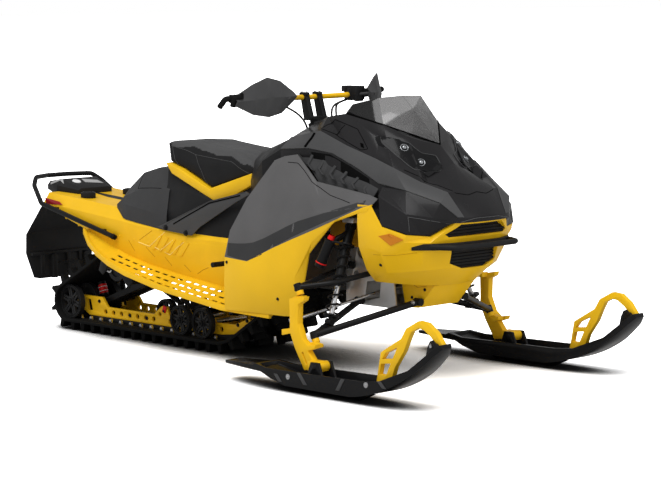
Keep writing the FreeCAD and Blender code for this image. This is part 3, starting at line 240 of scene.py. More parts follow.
@dataclass(frozen=True)
class Finish(BaseFinish):
    """One solid finish, with its grain and a painted highlight along its edges."""

    metallic: float = 0.0
    coat: float = 0.0
    coat_roughness: float = 0.08
    specular: float = 0.5
    ior: float = 1.3
    grain_scale: float = 900.0
    grain_depth: float = 0.25
    grain_height: float = 0.0003
    mottle: float = 0.08
    # painted highlight: how strongly, how wide and in what colour the edges are lightened
    wear: float = 0.0
    edge_highlight_width: float = 0.0025
    edge_highlight_colour: Point = (0.3, 0.3, 0.3)

    @cache
    def build(self) -> bpy.types.Material:
        """Make the material once.

        Returns:
            The material.
        """
        material = self.start((7.0, 1 - self.mottle, 1 + self.mottle), (23.0, 0.85, 1.15), {
            "Metallic": self.metallic, "Coat Weight": self.coat, "Coat Roughness": self.coat_roughness,
            "Specular IOR Level": self.specular, "IOR": self.ior,
        })
        tree = material.node_tree
        shader = tree.nodes["Principled BSDF"]
        # painted highlight: a lighter colour is mixed in where the surface turns over an edge
        if self.wear:
            mask = add_node(tree, "Group", node_tree=painted_edge_highlight_effect())
            set_inputs(tree, mask, {"Width": self.edge_highlight_width, "Amount": self.wear})
            highlighted = add_node(tree, "Mix", {"Factor": mask.outputs["Mask"], "A": tree.nodes["shade"].outputs["Result"],
                                          "B": (*self.edge_highlight_colour, 1.0)}, data_type="RGBA")
            set_inputs(tree, shader, {"Base Color": highlighted.outputs["Result"]})
        grain = add_node(tree, "Group", node_tree=grain_effect())
        set_inputs(tree, grain, {"Scale": self.grain_scale, "Depth": 1.0})
        bump = add_node(tree, "Bump", {"Strength": self.grain_depth, "Distance": self.grain_height,
                                       "Height": grain.outputs["Height"]})
        set_inputs(tree, shader, {"Normal": bump.outputs["Normal"]})
        return material


@dataclass(frozen=True)
class ClearFinish(BaseFinish):
    """See-through plastic with a tint."""

    transmission: float = 1.0
    ior: float = 1.45

    @cache
    def build(self) -> bpy.types.Material:
        """Make the material once."""
        return self.start((3.0, 0.94, 1.0), (40.0, 0.7, 1.3),
                          {"Transmission Weight": self.transmission, "IOR": self.ior})


class Paint(Enum):
    """The finishes of the machine, among them painted highlights along edges and lines, and painted shade in creases
    and folds.
    """

    YELLOW_PLASTIC = Finish("yellow_plastic", (0.83, 0.490, 0.012), 0.34, coat=0.12, specular=0.25, grain_depth=0.05,
                            mottle=0.03)
    YELLOW_METAL = Finish("yellow_metal", (0.84, 0.485, 0.012), 0.4, coat=0.06, specular=0.22, grain_depth=0.12,
                          mottle=0.05)
    # painted shade: a darker yellow for shaded creases, the tunnel's folds and the inner fenders
    YELLOW_SHADE = Finish("yellow_shade", (0.42, 0.20, 0.006), 0.5, specular=0.1, grain_depth=0.1)
    # painted highlight: a lighter yellow for the lit ridges pressed into the tunnel
    YELLOW_LIGHT = Finish("yellow_light", (0.92, 0.66, 0.16), 0.4, specular=0.2, grain_depth=0.1)
    BLACK_GLOSS = Finish("gloss_black", (0.0165, 0.016, 0.0168), 0.24, coat=0.08, specular=0.26, grain_depth=0.05,
                         mottle=0.1)
    # the edge settings below paint a lighter highlight along edges
    BLACK_PLASTIC = Finish("black_plastic", (0.016, 0.016, 0.0165), 0.46, specular=0.18, grain_scale=700, wear=0.25,
                           edge_highlight_colour=(0.06, 0.06, 0.06))
    BLACK_METAL = Finish("black_metal", (0.009, 0.009, 0.0095), 0.32, specular=0.3, grain_depth=0.15, wear=0.25,
                         edge_highlight_colour=(0.07, 0.07, 0.07))
    GREY_PLASTIC = Finish("grey_plastic", (0.052, 0.052, 0.053), 0.42, specular=0.2, grain_scale=800, wear=0.3,
                          edge_highlight_colour=(0.16, 0.16, 0.16))
    GREY_BODY = Finish("grey_body", (0.100, 0.098, 0.099), 0.38, specular=0.2, grain_depth=0.1, mottle=0.06)
    GREY_STRIP = Finish("grey_strip", (0.064, 0.064, 0.065), 0.36, specular=0.2, grain_depth=0.1, mottle=0.06)
    BOX = Finish("trunk_shell", (0.044, 0.044, 0.045), 0.5, specular=0.2, grain_scale=1000, grain_depth=0.4)
    SEAT = Finish("seat_cover", (0.016, 0.016, 0.0165), 0.6, specular=0.12, grain_scale=520, grain_depth=0.6)
    # top panel of the seat cover: partly its own lighter cloth, partly painted light on the faces that look up
    SEAT_TOP = Finish("seat_top", (0.074, 0.074, 0.075), 0.66, specular=0.15, grain_scale=900, grain_depth=0.8)
    FLAP = Finish("flap_rubber", (0.018, 0.018, 0.0185), 0.38, specular=0.25, grain_scale=700, wear=0.35,
                  edge_highlight_colour=(0.08, 0.08, 0.08))
    SEAT_REAR = Finish("seat_rear", (0.10, 0.10, 0.102), 0.6, specular=0.15, grain_scale=900, grain_depth=0.5)
    RUBBER = Finish("track_rubber", (0.0075, 0.0075, 0.0075), 0.65, specular=0.12, grain_scale=500, grain_depth=0.5,
                    wear=0.35, edge_highlight_colour=(0.04, 0.04, 0.04))
    GRIP = Finish("grip_rubber", (0.010, 0.010, 0.010), 0.65, specular=0.12, grain_scale=1400, grain_depth=0.8)
    WHEEL = Finish("wheel_black", (0.018, 0.018, 0.019), 0.34, specular=0.3, wear=0.4, edge_highlight_colour=(0.13, 0.13, 0.13))
    STEEL = Finish("bare_steel", (0.55, 0.55, 0.56), 0.28, metallic=1.0, grain_depth=0.2)
    ALUMINIUM = Finish("raw_aluminium", (0.60, 0.60, 0.60), 0.42, metallic=0.8, grain_depth=0.4)
    CAST = Finish("cast_metal", (0.07, 0.07, 0.07), 0.5, metallic=0.6, grain_depth=0.8)
    RED = Finish("red_lens", (0.30, 0.010, 0.014), 0.22, coat=0.3, specular=0.3, grain_depth=0.05)
    AMBER = Finish("amber_lens", (0.56, 0.19, 0.012), 0.25, coat=0.2, specular=0.25, grain_depth=0.05)
    SKI = Finish("ski_plastic", (0.0075, 0.0075, 0.008), 0.2, specular=0.38, grain_scale=600, grain_depth=0.08,
                 wear=0.3, edge_highlight_colour=(0.06, 0.06, 0.06))
    # grey of the ski ribs and lamp bezels, also a painted highlight along the strut plate's edge
    RIB = Finish("ski_rib", (0.060, 0.060, 0.061), 0.4, specular=0.2, grain_scale=600)
    HEM = Finish("panel_hem", (0.040, 0.040, 0.041), 0.36, specular=0.2, grain_depth=0.1, mottle=0.06)
    RECESS = Finish("vent_recess", (0.004, 0.004, 0.004), 0.5, specular=0.08, grain_depth=0.1)
    # painted highlight: a light grey for lit edges of the hood and cheeks
    EDGE_LINE = Finish("edge_line", (0.11, 0.11, 0.112), 0.35, specular=0.3, grain_depth=0.05)
    LABEL = Finish("blank_plate", (0.34, 0.34, 0.34), 0.4, specular=0.2, grain_depth=0.05)
    GAP = Finish("panel_gap", (0.002, 0.002, 0.002), 0.8, specular=0.02)
    RED_KNOB = Finish("red_anodised", (0.66, 0.010, 0.010), 0.3, metallic=0.1)
    WHITE = Finish("white_plastic", (0.75, 0.75, 0.75), 0.45)
    LENS = Finish("lamp_smoke", (0.0075, 0.0075, 0.008), 0.2, coat=0.1, specular=0.2, grain_depth=0.02)
    SCREEN = ClearFinish("smoked_screen", (0.47, 0.465, 0.465), 0.06, 0.9)
    SCREEN_DARK = ClearFinish("smoked_screen_side", (0.018, 0.018, 0.018), 0.12, 0.35)
    LAMP_LIGHT = Finish("lamp_reflector", (0.30, 0.31, 0.32), 0.15, metallic=0.7)


SLOT_PAINT = {
    "track_rubber": Paint.RUBBER, "wheel_black": Paint.WHEEL, "bare_steel": Paint.STEEL,
    "yellow_metal": Paint.YELLOW_METAL, "black_plastic": Paint.BLACK_PLASTIC, "black_metal": Paint.BLACK_METAL,
    "red_lens": Paint.RED, "seat_cover": Paint.SEAT, "yellow_plastic": Paint.YELLOW_PLASTIC,
    "grey_plastic": Paint.GREY_PLASTIC, "gloss_black": Paint.BLACK_GLOSS, "lamp_glass": Paint.LENS,
    "amber_lens": Paint.AMBER, "grey_body": Paint.GREY_BODY, "smoked_screen": Paint.SCREEN,
    "cast_metal": Paint.CAST, "raw_aluminium": Paint.ALUMINIUM, "grip_rubber": Paint.GRIP, "ski_plastic": Paint.SKI,
}


# Mesh helpers


def mirror_y(point: Point, side: int) -> Vector:
    """Turn an outward point in millimetres into a place on one side, -1 for the right."""
    return Vector((point[0], side * point[1], point[2])) * MM


def outward(side: int) -> Vector:
    """Give the direction out of one side."""
    return Vector((0.0, side, 0.0))


def finish_mesh(shape: Shape, name: str, paint: Paint, smooth_deg: float) -> bpy.types.Object:
    """Turn a shape into an object with a finish.

    Args:
        shape: The shape, which is freed.
        name: Name of the piece.
        paint: Its finish.
        smooth_deg: Edges sharper than this stay hard.

    Returns:
        The linked object.
    """
    bmesh.ops.recalc_face_normals(shape, faces=shape.faces)
    mesh = bpy.data.meshes.new(name)
    shape.to_mesh(mesh)
    shape.free()
    for polygon in mesh.polygons:
        polygon.use_smooth = True
    mesh.set_sharp_from_angle(angle=math.radians(smooth_deg))
    mesh.materials.append(paint.value.build())
    piece = bpy.data.objects.new(name, mesh)
    bpy.context.scene.collection.objects.link(piece)
    return piece


def round_edges(shape: Shape, edges: list[bmesh.types.BMEdge], radius: float, segments: int = 2) -> None:
    """Round edges off to a radius."""
    bmesh.ops.bevel(shape, geom=edges, offset=radius, offset_type="OFFSET", segments=segments, profile=0.5,
                    affect="EDGES", clamp_overlap=True, material=-1)


def rounded_copy(mesh: bpy.types.Mesh, radius: float, segments: int, sharp_deg: float) -> Shape:
    """Copy a node's mesh as one skin with rounded edges.

    Args:
        mesh: The node's mesh.
        radius: Radius of its edges.
        segments: Steps across each rounded edge.
        sharp_deg: Edges flatter than this are left as they are.

    Returns:
        The copy.
    """
    shape = bmesh.new()
    shape.from_mesh(mesh)
    bmesh.ops.remove_doubles(shape, verts=shape.verts, dist=WELD)
    bmesh.ops.dissolve_limit(shape, angle_limit=math.radians(1.0), verts=shape.verts, edges=shape.edges)
    sharp = [edge for edge in shape.edges if edge.calc_face_angle(0.0) > math.radians(sharp_deg)]
    round_edges(shape, sharp, radius, segments)
    return shape


def add_rod(shape: Shape, start: Vector, end: Vector, radius: float, radius_end: float | None = None,
            segments: int = 20) -> None:
    """Add a round bar between two places.

    Args:
        shape: Shape that gets the bar.
        start: One end.
        end: The other end.
        radius: Radius at the start.
        radius_end: Radius at the end, the same where it is left out.
        segments: Faces round the bar.
    """
    along = end - start
    turn = along.to_track_quat("Z", "Y").to_matrix().to_4x4()
    bmesh.ops.create_cone(
        shape, cap_ends=True, segments=segments, radius1=radius,
        radius2=radius if radius_end is None else radius_end, depth=along.length,
        matrix=Matrix.Translation((start + end) / 2) @ turn,
    )


def add_plate(shape: Shape, corners: list[Vector], thickness: Vector, edge: float) -> None:
    """Add a flat plate with rounded edges.

    Args:
        shape: Shape that gets the plate.
        corners: Its outline.
        thickness: Direction and distance through the plate.
        edge: Radius of its edges.
    """
    face = shape.faces.new([shape.verts.new(corner) for corner in corners])
    grown = bmesh.ops.extrude_face_region(shape, geom=[face])["geom"]
    moved = [item for item in grown if isinstance(item, bmesh.types.BMVert)]
    bmesh.ops.translate(shape, verts=moved, vec=thickness)
    shell = {f for vert in moved + list(face.verts) for f in vert.link_faces}
    bmesh.ops.recalc_face_normals(shape, faces=list(shell))
    round_edges(shape, list({e for f in shell for e in f.edges}), edge)


def add_ring(shape: Shape, place: Vector, axis: Vector, radius: float, minor: float, steps: int = 28,
             sides: int = 8) -> None:
    """Add a round ring, such as a tyre bead or a rib of a boot.

    Args:
        shape: Shape that gets the ring.
        place: Its centre.
        axis: Its axis.
        radius: Radius to the middle of its section.
        minor: Radius of the section.
        steps: Faces round the ring.
        sides: Faces round the section.
    """
    along = axis.normalized()
    across = along.orthogonal().normalized()
    verts = []
    for i in range(sides):
        angle = 2 * math.pi * i / sides
        reach = across * (radius + minor * math.cos(angle))
        verts.append(shape.verts.new(place + reach + along * minor * math.sin(angle)))
    edges = [shape.edges.new((verts[i - 1], verts[i])) for i in range(sides)]
    bmesh.ops.spin(shape, geom=verts + edges, cent=place, axis=along, angle=2 * math.pi, steps=steps,
                   use_merge=True, dvec=(0, 0, 0))


def add_bolt(shape: Shape, place: Vector, axis: Vector, radius: float) -> None:
    """Add a flanged hexagon bolt head that stands on a surface.

    Args:
        shape: Shape that gets the head.
        place: Middle of its seat.
        axis: Direction out of the surface.
        radius: Radius of the flange.
    """
    out = axis.normalized()
    add_rod(shape, place - out * radius * 0.1, place + out * radius * 0.18, radius, radius * 0.92, 20)
    add_rod(shape, place + out * radius * 0.18, place + out * radius * 0.7, radius * 0.66, radius * 0.6, 6)


def add_brick(shape: Shape, centre_mm: Point, size: Point, edge: float, turn: Matrix | None = None) -> None:
    """Add a rounded block.

    Args:
        shape: Shape that gets the block.
        centre_mm: Its middle in millimetres.
        size: Its three sides in metres.
        edge: Radius of its edges.
        turn: Its rotation, none where it is left out.
    """
    place = Matrix.Translation(Vector(centre_mm) * MM)
    if turn is not None:
        place = place @ turn.to_4x4()
    made = bmesh.ops.create_cube(shape, size=1.0, matrix=place @ Matrix.Diagonal((*size, 1.0)))["verts"]
    round_edges(shape, list({e for vert in made for e in vert.link_edges}), edge)


def tube(points: list[Vector], radius: float, sides: int = 3) -> Shape:
    """Make a smooth hose or wire through control points.

    Args:
        points: Control points of its line.
        radius: Its radius.
        sides: Resolution round the tube.

    Returns:
        The tube's shape.
    """
    curve = bpy.data.curves.new("line", "CURVE")
    curve.dimensions = "3D"
    curve.bevel_depth = radius
    curve.bevel_resolution = sides
    curve.use_fill_caps = True
    spline = curve.splines.new("NURBS")
    spline.points.add(len(points) - 1)
    for knot, point in zip(spline.points, points):
        knot.co = (*point, 1.0)
    spline.order_u = 3
    spline.use_endpoint_u = True
    spline.resolution_u = 8
    drawn = bpy.data.objects.new("line", curve)
    mesh = bpy.data.meshes.new_from_object(drawn)
    bpy.data.objects.remove(drawn)
    shape = bmesh.new()
    shape.from_mesh(mesh)
    bpy.data.meshes.remove(mesh)
    return shape


def along_line(points: Line, share: float) -> Vector:
    """Find the place at a share of a line's corners.

    Args:
        points: The line's corners in millimetres.
        share: How far along, counted in corners, from 0 to 1.

    Returns:
        The place in metres.
    """
    reach = share * (len(points) - 1)
    first = min(int(reach), len(points) - 2)
    return Vector(points[first]).lerp(Vector(points[first + 1]), reach - first) * MM


def surface_of(mesh: bpy.types.Mesh) -> BVHTree:
    """Make a tree of a mesh's faces, to lay lines and plates on."""
    corners = [vert.co.copy() for vert in mesh.vertices]
    return BVHTree.FromPolygons(corners, [tuple(face.vertices) for face in mesh.polygons])


def lay_line(tree: BVHTree, corners: list[Vector], lift: float = 0.0) -> list[Vector]:
    """Lay a line on a surface.

    Args:
        tree: The surface.
        corners: Corners of the line.
        lift: How far above the surface the line lies.

    Returns:
        Points on the surface.
    """
    spots = []
    for start, end in zip(corners, corners[1:]):
        count = max(1, round((end - start).length / LINE_STEP))
        spots += [start.lerp(end, i / count) for i in range(count)]
    line = []
    for spot in (*spots, corners[-1]):
        near, normal, _, _ = tree.find_nearest(spot)
        line.append(near + normal * lift)
    return line


@dataclass(frozen=True)
class Seam:
    """A fine line on both sides of the machine."""

    name: str
    node: str  # carries the line
    radius: float
    paint: Paint
    corners: Line  # in millimetres: the first piece takes them as they are, the second one mirrored


@dataclass(frozen=True)
class Patch:
    """A thin shaped plate on the machine."""

    name: str
    nodes: tuple[str, ...]  # the nodes that it lies on, of which the first one carries it
    upper: Line  # one edge in millimetres, on the right side
    lower: Line  # the facing edge, from the same end
    out: Point  # direction out of the surface, on the right side
    paint: Paint
    slot: str
    lift: float = 0.0012
    cast: bool = True  # False keeps the plate's own corners
    both: bool = True  # False makes one plate only, where it is written


@dataclass
class Frame:
    """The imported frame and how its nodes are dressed."""

    nodes: dict[str, bpy.types.Object]
    sharp_deg: float = 24.0
    smooth_deg: float = 35.0

    def slot_of(self, node: str) -> str:
        """Name the slot that a node's own material stands for."""
        return self.nodes[node].data.materials[0].name.split(".")[0]

    def body_of(self, node: str) -> str:
        """Name the body that a node rides on."""
        return self.nodes[node]["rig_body"]

    def surface(self, node: str) -> BVHTree:
        """Make a tree of a node's faces."""
        return surface_of(self.nodes[node].data)

    def settle(self, piece: bpy.types.Object, node: str) -> None:
        """Let a piece ride with a node."""
        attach(piece, self.body_of(node))

    def fit(self, shape: Shape, name: str, paint: Paint, node: str, smooth_deg: float = 30.0) -> None:
        """Turn a shape into a piece that rides with a node.

        Args:
            shape: The shape, which is freed.
            name: Name of the piece.
            paint: Its finish.
            node: Node that it rides with.
            smooth_deg: Edges sharper than this stay hard.
        """
        self.settle(finish_mesh(shape, name, paint, smooth_deg), node)

    def paint_node(self, node: str, paint: Paint) -> None:
        """Give a node that stays its finish.

        Args:
            node: The node.
            paint: Its finish.
        """
        for place in self.nodes[node].material_slots:
            place.link = "OBJECT"
            place.material = paint.value.build()

    def soften(self, node: str, edge: float, paint: Paint, segments: int = 2) -> bpy.types.Object:
        """Replace a rigid node with a copy whose edges are rounded.

        Args:
            node: The node to stand for.
            edge: Radius of the edges.
            paint: Its finish.
            segments: Steps across each rounded edge.

        Returns:
            The piece that stands for the node.
        """
        shape = rounded_copy(self.nodes[node].data, edge, segments, self.sharp_deg)
        piece = finish_mesh(shape, node + "_shell", paint, self.smooth_deg)
        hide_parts(node)
        self.settle(piece, node)
        return piece

    def line_on(self, node: str, corners: Line, side: int, lift: float = 0.0) -> list[Vector]:
        """Lay a line on a node's surface.

        Args:
            node: The node that carries the line.
            corners: Corners of the line in millimetres.
            side: -1 takes them as they are, 1 mirrors them.
            lift: How far above the surface the line lies.

        Returns:
            Points on the surface.
        """
        return lay_line(self.surface(node), [Vector((x, y * -side, z)) * MM for x, y, z in corners], lift)

    def seam(self, line: Seam) -> None:
        """Lay a fine line on both sides of the machine.

        Args:
            line: The line.
        """
        for side, suffix in SIDES.items():
            shape = tube(self.line_on(line.node, line.corners, side), line.radius, 2)
            self.fit(shape, line.name + suffix, line.paint, line.node, TUBE_SMOOTH_DEG)

    def patch(self, plate: Patch) -> None:
        """Lay a thin shaped plate on the machine.

        Args:
            plate: The plate.
        """
        trees = [self.surface(node) for node in plate.nodes] if plate.cast else []
        for side, suffix in (SIDES if plate.both else {-1: ""}).items():
            away = Vector((plate.out[0], -side * plate.out[1], plate.out[2])).normalized()
            shape = bmesh.new()
            bmesh.ops.create_grid(shape, x_segments=PATCH_STEPS, y_segments=PATCH_ROWS, size=1.0)
            for i, vert in enumerate(shape.verts):
                row, step = divmod(i, PATCH_STEPS + 1)
                upper, lower = (along_line(edge, step / PATCH_STEPS) for edge in (plate.upper, plate.lower))
                place = upper.lerp(lower, row / PATCH_ROWS)
                place.y *= -side
                hits = [tree.ray_cast(place + away * PATCH_REACH, -away, 2 * PATCH_REACH)[0] for tree in trees]
                hits = [hit for hit in hits if hit is not None]
                if hits:
                    place = max(hits, key=lambda hit: hit.dot(away))
                vert.co = place + away * plate.lift
            bmesh.ops.remove_doubles(shape, verts=shape.verts, dist=1e-5)
            bmesh.ops.recalc_face_normals(shape, faces=shape.faces)
            faces_out = sum(face.normal.dot(away) for face in shape.faces) > 0
            bmesh.ops.solidify(shape, geom=shape.faces[:], thickness=PATCH_WALL if faces_out else -PATCH_WALL)
            self.fit(shape, plate.name + suffix, plate.paint, plate.nodes[0])


# Studio


@dataclass
class Studio:
    """White sweep, soft lamps and the camera."""

    camera_place: Point = (7.0925, -6.2778, 1.4858)
    azimuth_deg: float = 47.044
    elevation_deg: float = 6.0757
    roll_deg: float = -0.692
    lens_mm: float = 123.05
    floor_size: float = 400.0
    floor_white: float = 2.3
    floor_bounce: float = 0.8
    painted_shadow_reach: float = 0.45
    painted_shadow_open: tuple[float, float] = (0.3, 0.95)  # how open to the sky the floor is where its painted shadow is darkest and where it ends
    painted_shadow_dark: float = 0.02
    mirrored_white: float = 0.45
    ambient: float = 0.54
    lamps: tuple[tuple[str, Point, float, float], ...] = (
        # name, direction to the lamp, softness in degrees, strength
        ("key", (1.0, -4.0, 7.0), 40.0, 1.95), ("front", (6.0, 1.0, 3.0), 60.0, 0.6),
    )

    def build_camera(self) -> None:
        """Place the camera at the photograph's viewing angle."""
        azimuth, tilt, roll = (math.radians(v) for v in (self.azimuth_deg, self.elevation_deg, self.roll_deg))
        look = Vector((-math.sin(azimuth) * math.cos(tilt), math.cos(azimuth) * math.cos(tilt), -math.sin(tilt)))
        level = Vector((math.cos(azimuth), math.sin(azimuth), 0.0))
        up = level.cross(look)
        across = level * math.cos(roll) + up * math.sin(roll)
        upward = up * math.cos(roll) - level * math.sin(roll)
        data = bpy.data.cameras.new("camera")
        data.lens = self.lens_mm
        data.sensor_width = 36.0
        data.clip_end = 1000.0
        camera = bpy.data.objects.new("camera", data)
        turn = Matrix((across, upward, -look)).transposed()
        camera.matrix_world = Matrix.Translation(self.camera_place) @ turn.to_4x4()
        bpy.context.scene.collection.objects.link(camera)
        bpy.context.scene.camera = camera

    def build_world(self) -> None:
        """Give even light, and white where it is seen directly or through glass."""
        world = bpy.data.worlds.new("studio")
        bpy.context.scene.world = world
        world.use_nodes = True
        tree = world.node_tree
        tree.nodes.clear()
        rays = add_node(tree, "LightPath").outputs
        seen = add_node(tree, "Math", {0: rays["Is Camera Ray"], 1: rays["Is Transmission Ray"]},
                        operation="MAXIMUM")
        mirrored = add_node(tree, "MapRange", {"Value": rays["Is Glossy Ray"], "To Min": self.ambient,
                                               "To Max": self.mirrored_white})
        strength = add_node(tree, "MapRange", {"Value": seen.outputs[0], "To Min": mirrored.outputs["Result"],
                                               "To Max": 1.0})
        light = add_node(tree, "Background", {"Color": (1.0, 1.0, 1.0, 1.0),
                                              "Strength": strength.outputs["Result"]})
        add_node(tree, "OutputWorld", {"Surface": light.outputs["Background"]})

    def build_floor(self) -> None:
        """Lay the plain pale floor, with a painted shadow close under the machine."""
        shape = bmesh.new()
        bmesh.ops.create_grid(shape, x_segments=1, y_segments=1, size=self.floor_size / 2)
        mesh = bpy.data.meshes.new("floor")
        shape.to_mesh(mesh)
        shape.free()
        material = bpy.data.materials.new("floor_white")
        material.use_nodes = True
        tree = material.node_tree
        tree.nodes.clear()
        rays = add_node(tree, "LightPath").outputs
        mirrored = add_node(tree, "MapRange", {"Value": rays["Is Glossy Ray"], "To Min": self.floor_bounce,
                                               "To Max": self.mirrored_white})
        level = add_node(tree, "MapRange", {"Value": rays["Is Camera Ray"], "To Min": mirrored.outputs["Result"],
                                            "To Max": self.floor_white})
        # painted shadow: ambient occlusion darkens the floor's own colour close under the machine
        sky = add_node(tree, "AmbientOcclusion", {"Distance": self.painted_shadow_reach}, samples=12)
        least, most = self.painted_shadow_open
        painted_shadow = add_node(tree, "MapRange", {"Value": sky.outputs["AO"], "From Min": least, "From Max": most,
                                              "To Min": self.painted_shadow_dark}, interpolation_type="SMOOTHSTEP")
        colour = add_node(tree, "Math", {0: level.outputs["Result"], 1: painted_shadow.outputs["Result"]},
                          operation="MULTIPLY")
        surface = add_node(tree, "BsdfDiffuse", {"Color": colour.outputs[0]})
        add_node(tree, "OutputMaterial", {"Surface": surface.outputs["BSDF"]})
        mesh.materials.append(material)
        floor = bpy.data.objects.new("floor", mesh)
        bpy.context.scene.collection.objects.link(floor)

    def build_lamp(self, name: str, toward: Point, softness_deg: float, strength: float) -> None:
        """Set one soft lamp so far away that it lights the whole floor evenly.

        Args:
            name: Name of the lamp.
            toward: Direction from the object to the lamp.
            softness_deg: How wide the lamp looks from the object.
            strength: Its strength in watts a square metre.
        """
        data = bpy.data.lights.new(name, "SUN")
        data.angle = math.radians(softness_deg)
        data.energy = strength
        lamp = bpy.data.objects.new(name, data)
        lamp.rotation_euler = (-Vector(toward)).to_track_quat("-Z", "Y").to_euler()
        bpy.context.scene.collection.objects.link(lamp)

    def build(self) -> None:
        """Set up light, floor and camera."""
        self.build_camera()
        self.build_world()
        self.build_floor()
        for lamp in self.lamps:
            self.build_lamp(*lamp)
        bpy.context.scene.view_settings.view_transform = "Standard"


# Sub-assemblies


@dataclass
class ScreenDress:
    """Smoked windshield with darker wings and rim, and its seal on the hood."""

    edge: float = 0.0008
    wing_mm: float = 112.0
    rim_area: float = 0.002
    seal: Seam = Seam("screen_seal", "windshield", 0.0032, Paint.GAP, (
        (652, 188, 1041), (822, 152, 1000), (980, 0, 922)))

    def build(self, frame: Frame) -> None:
        """Tint the wings and the rim, and lay the seal.

        Args:
            frame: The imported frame.
        """
        piece = frame.soften("windshield", self.edge, Paint.SCREEN, 1)
        piece.data.materials.append(Paint.SCREEN_DARK.value.build())
        for polygon in piece.data.polygons:
            if abs(polygon.center.y) > self.wing_mm * MM or polygon.area < self.rim_area:
                polygon.material_index = 1
        frame.seam(self.seal)


@dataclass
class TrackDress:
    """Guide clips along the lower run of the track."""

    first_mm: float = -1190.0
    last_mm: float = -235.0
    pitch_mm: float = 73.0
    row_mm: float = 128.0
    foot_mm: float = 49.0
    tip_mm: float = 65.0
    half_foot_mm: float = 13.0
    half_tip_mm: float = 4.0
    half_width_mm: float = 6.0
    edge: float = 0.0015

    def build(self, frame: Frame) -> None:
        """Make the clips.

        Args:
            frame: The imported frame.
        """
        shape = bmesh.new()
        place = self.first_mm
        while place < self.last_mm:
            corners = [(place - self.half_foot_mm, self.foot_mm), (place + self.half_foot_mm, self.foot_mm),
                       (place + self.half_tip_mm, self.tip_mm), (place - self.half_tip_mm, self.tip_mm)]
            for side in SIDES:
                ring = [Vector((x, side * self.row_mm - self.half_width_mm, z)) * MM for x, z in corners]
                add_plate(shape, ring, ACROSS * 2 * self.half_width_mm * MM, self.edge)
            place += self.pitch_mm
        frame.fit(shape, "track_clips", Paint.STEEL, "track")


@dataclass
class WheelDress:
    """Hub caps, bolts and tyre beads of the suspension wheels."""

    wheels: tuple[tuple[float, float, float, float], ...] = (
        # x, z, outer face y, radius
        (-1225.0, 127.0, 163.0, 77.0), (-440.0, 115.0, 163.0, 65.0), (-292.0, 115.0, 163.0, 65.0),
        (-648.0, 115.0, 73.0, 65.0),
    )
    cap_mm: float = 15.0
    cap_taper: float = 0.85
    cap_out_mm: float = 4.0
    cap_top: float = 0.004
    cap_foot: float = 0.003
    bolt: float = 0.009
    bead_mm: float = 2.2
    bead_insets_mm: tuple[float, float] = (4.0, 12.0)

    def build(self, frame: Frame) -> None:
        """Make caps and beads.

        Args:
            frame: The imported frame.
        """
        caps, beads = bmesh.new(), bmesh.new()
        for x, z, y, radius in self.wheels:
            for side in SIDES:
                out = outward(side)
                hub = mirror_y((x, y + self.cap_out_mm, z), side)
                top = hub + out * self.cap_top
                cap = self.cap_mm * MM
                add_rod(caps, hub - out * self.cap_foot, top, cap, cap * self.cap_taper, 24)
                add_bolt(caps, top, out, self.bolt)
                for inset in self.bead_insets_mm:
                    add_ring(beads, mirror_y((x, y, z), side), out, (radius - inset) * MM, self.bead_mm * MM, 48, 6)
        frame.fit(caps, "wheel_caps", Paint.BLACK_METAL, "road_wheels")
        frame.fit(beads, "wheel_beads", Paint.RUBBER, "road_wheels", 60)


@dataclass
class RailDress:
    """Bolts, patches, damper canister and idler rings of the skid frame."""

    bolts_mm: Outline = (
        (-1210.0, 104.0), (-1085.0, 134.0), (-860.0, 89.0), (-740.0, 89.0), (-470.0, 134.0), (-616.0, 132.0),
        (-345.0, 96.0), (-120.0, 118.0), (-60.0, 142.0),
    )
    bolt: float = 0.009
    rail_face_mm: float = 104.0
    patch_mm: Outline = ((-632.0, 128.0), (-606.0, 124.0), (-596.0, 150.0), (-618.0, 158.0))
    canister_mm: Line = ((-1150.0, -24.0, 148.0), (-1172.0, -24.0, 208.0))
    band_shares: tuple[float, float] = (0.15, 0.8)
    band: float = 0.0198
    ring_shares: tuple[float, float] = (0.32, 0.62)
    ring: tuple[float, float] = (0.0196, 0.0018)  # radius and half thickness
    patch_wall: float = 0.003
    patch_lift_mm: float = 0.4
    idler_mm: Point = (-972.0, 131.0, 296.0)
    idler_ring: tuple[float, float] = (0.017, 0.003)

    def build(self, frame: Frame) -> None:
        """Make the rail's fittings.

        Args:
            frame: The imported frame.
        """
        bolts, patches, band, rings, idlers = (bmesh.new() for _ in range(5))
        for x, z in self.bolts_mm:
            for side in SIDES:
                add_bolt(bolts, mirror_y((x, self.rail_face_mm, z), side), outward(side), self.bolt)
        for side in SIDES:
            outline = [mirror_y((x, self.rail_face_mm + self.patch_lift_mm, z), side) for x, z in self.patch_mm]
            add_plate(patches, outline, outward(side) * self.patch_wall, 0.001)
            add_ring(idlers, mirror_y(self.idler_mm, side), ACROSS, *self.idler_ring, 32, 8)
        foot, top = (Vector(end) * MM for end in self.canister_mm)
        add_rod(band, *(foot.lerp(top, share) for share in self.band_shares), self.band, None, 28)
        for share in self.ring_shares:
            add_ring(rings, foot.lerp(top, share), top - foot, *self.ring, 32, 8)
        frame.fit(bolts, "rail_bolts", Paint.BLACK_METAL, "slide_rails")
        frame.fit(patches, "rail_patches", Paint.RED_KNOB, "slide_rails")
        frame.fit(band, "canister_band", Paint.RED_KNOB, "rear_dampers", 40)
        frame.fit(rings, "canister_rings", Paint.WHITE, "rear_dampers", 60)
        frame.fit(idlers, "idler_rings", Paint.WHITE, "road_wheels", 60)


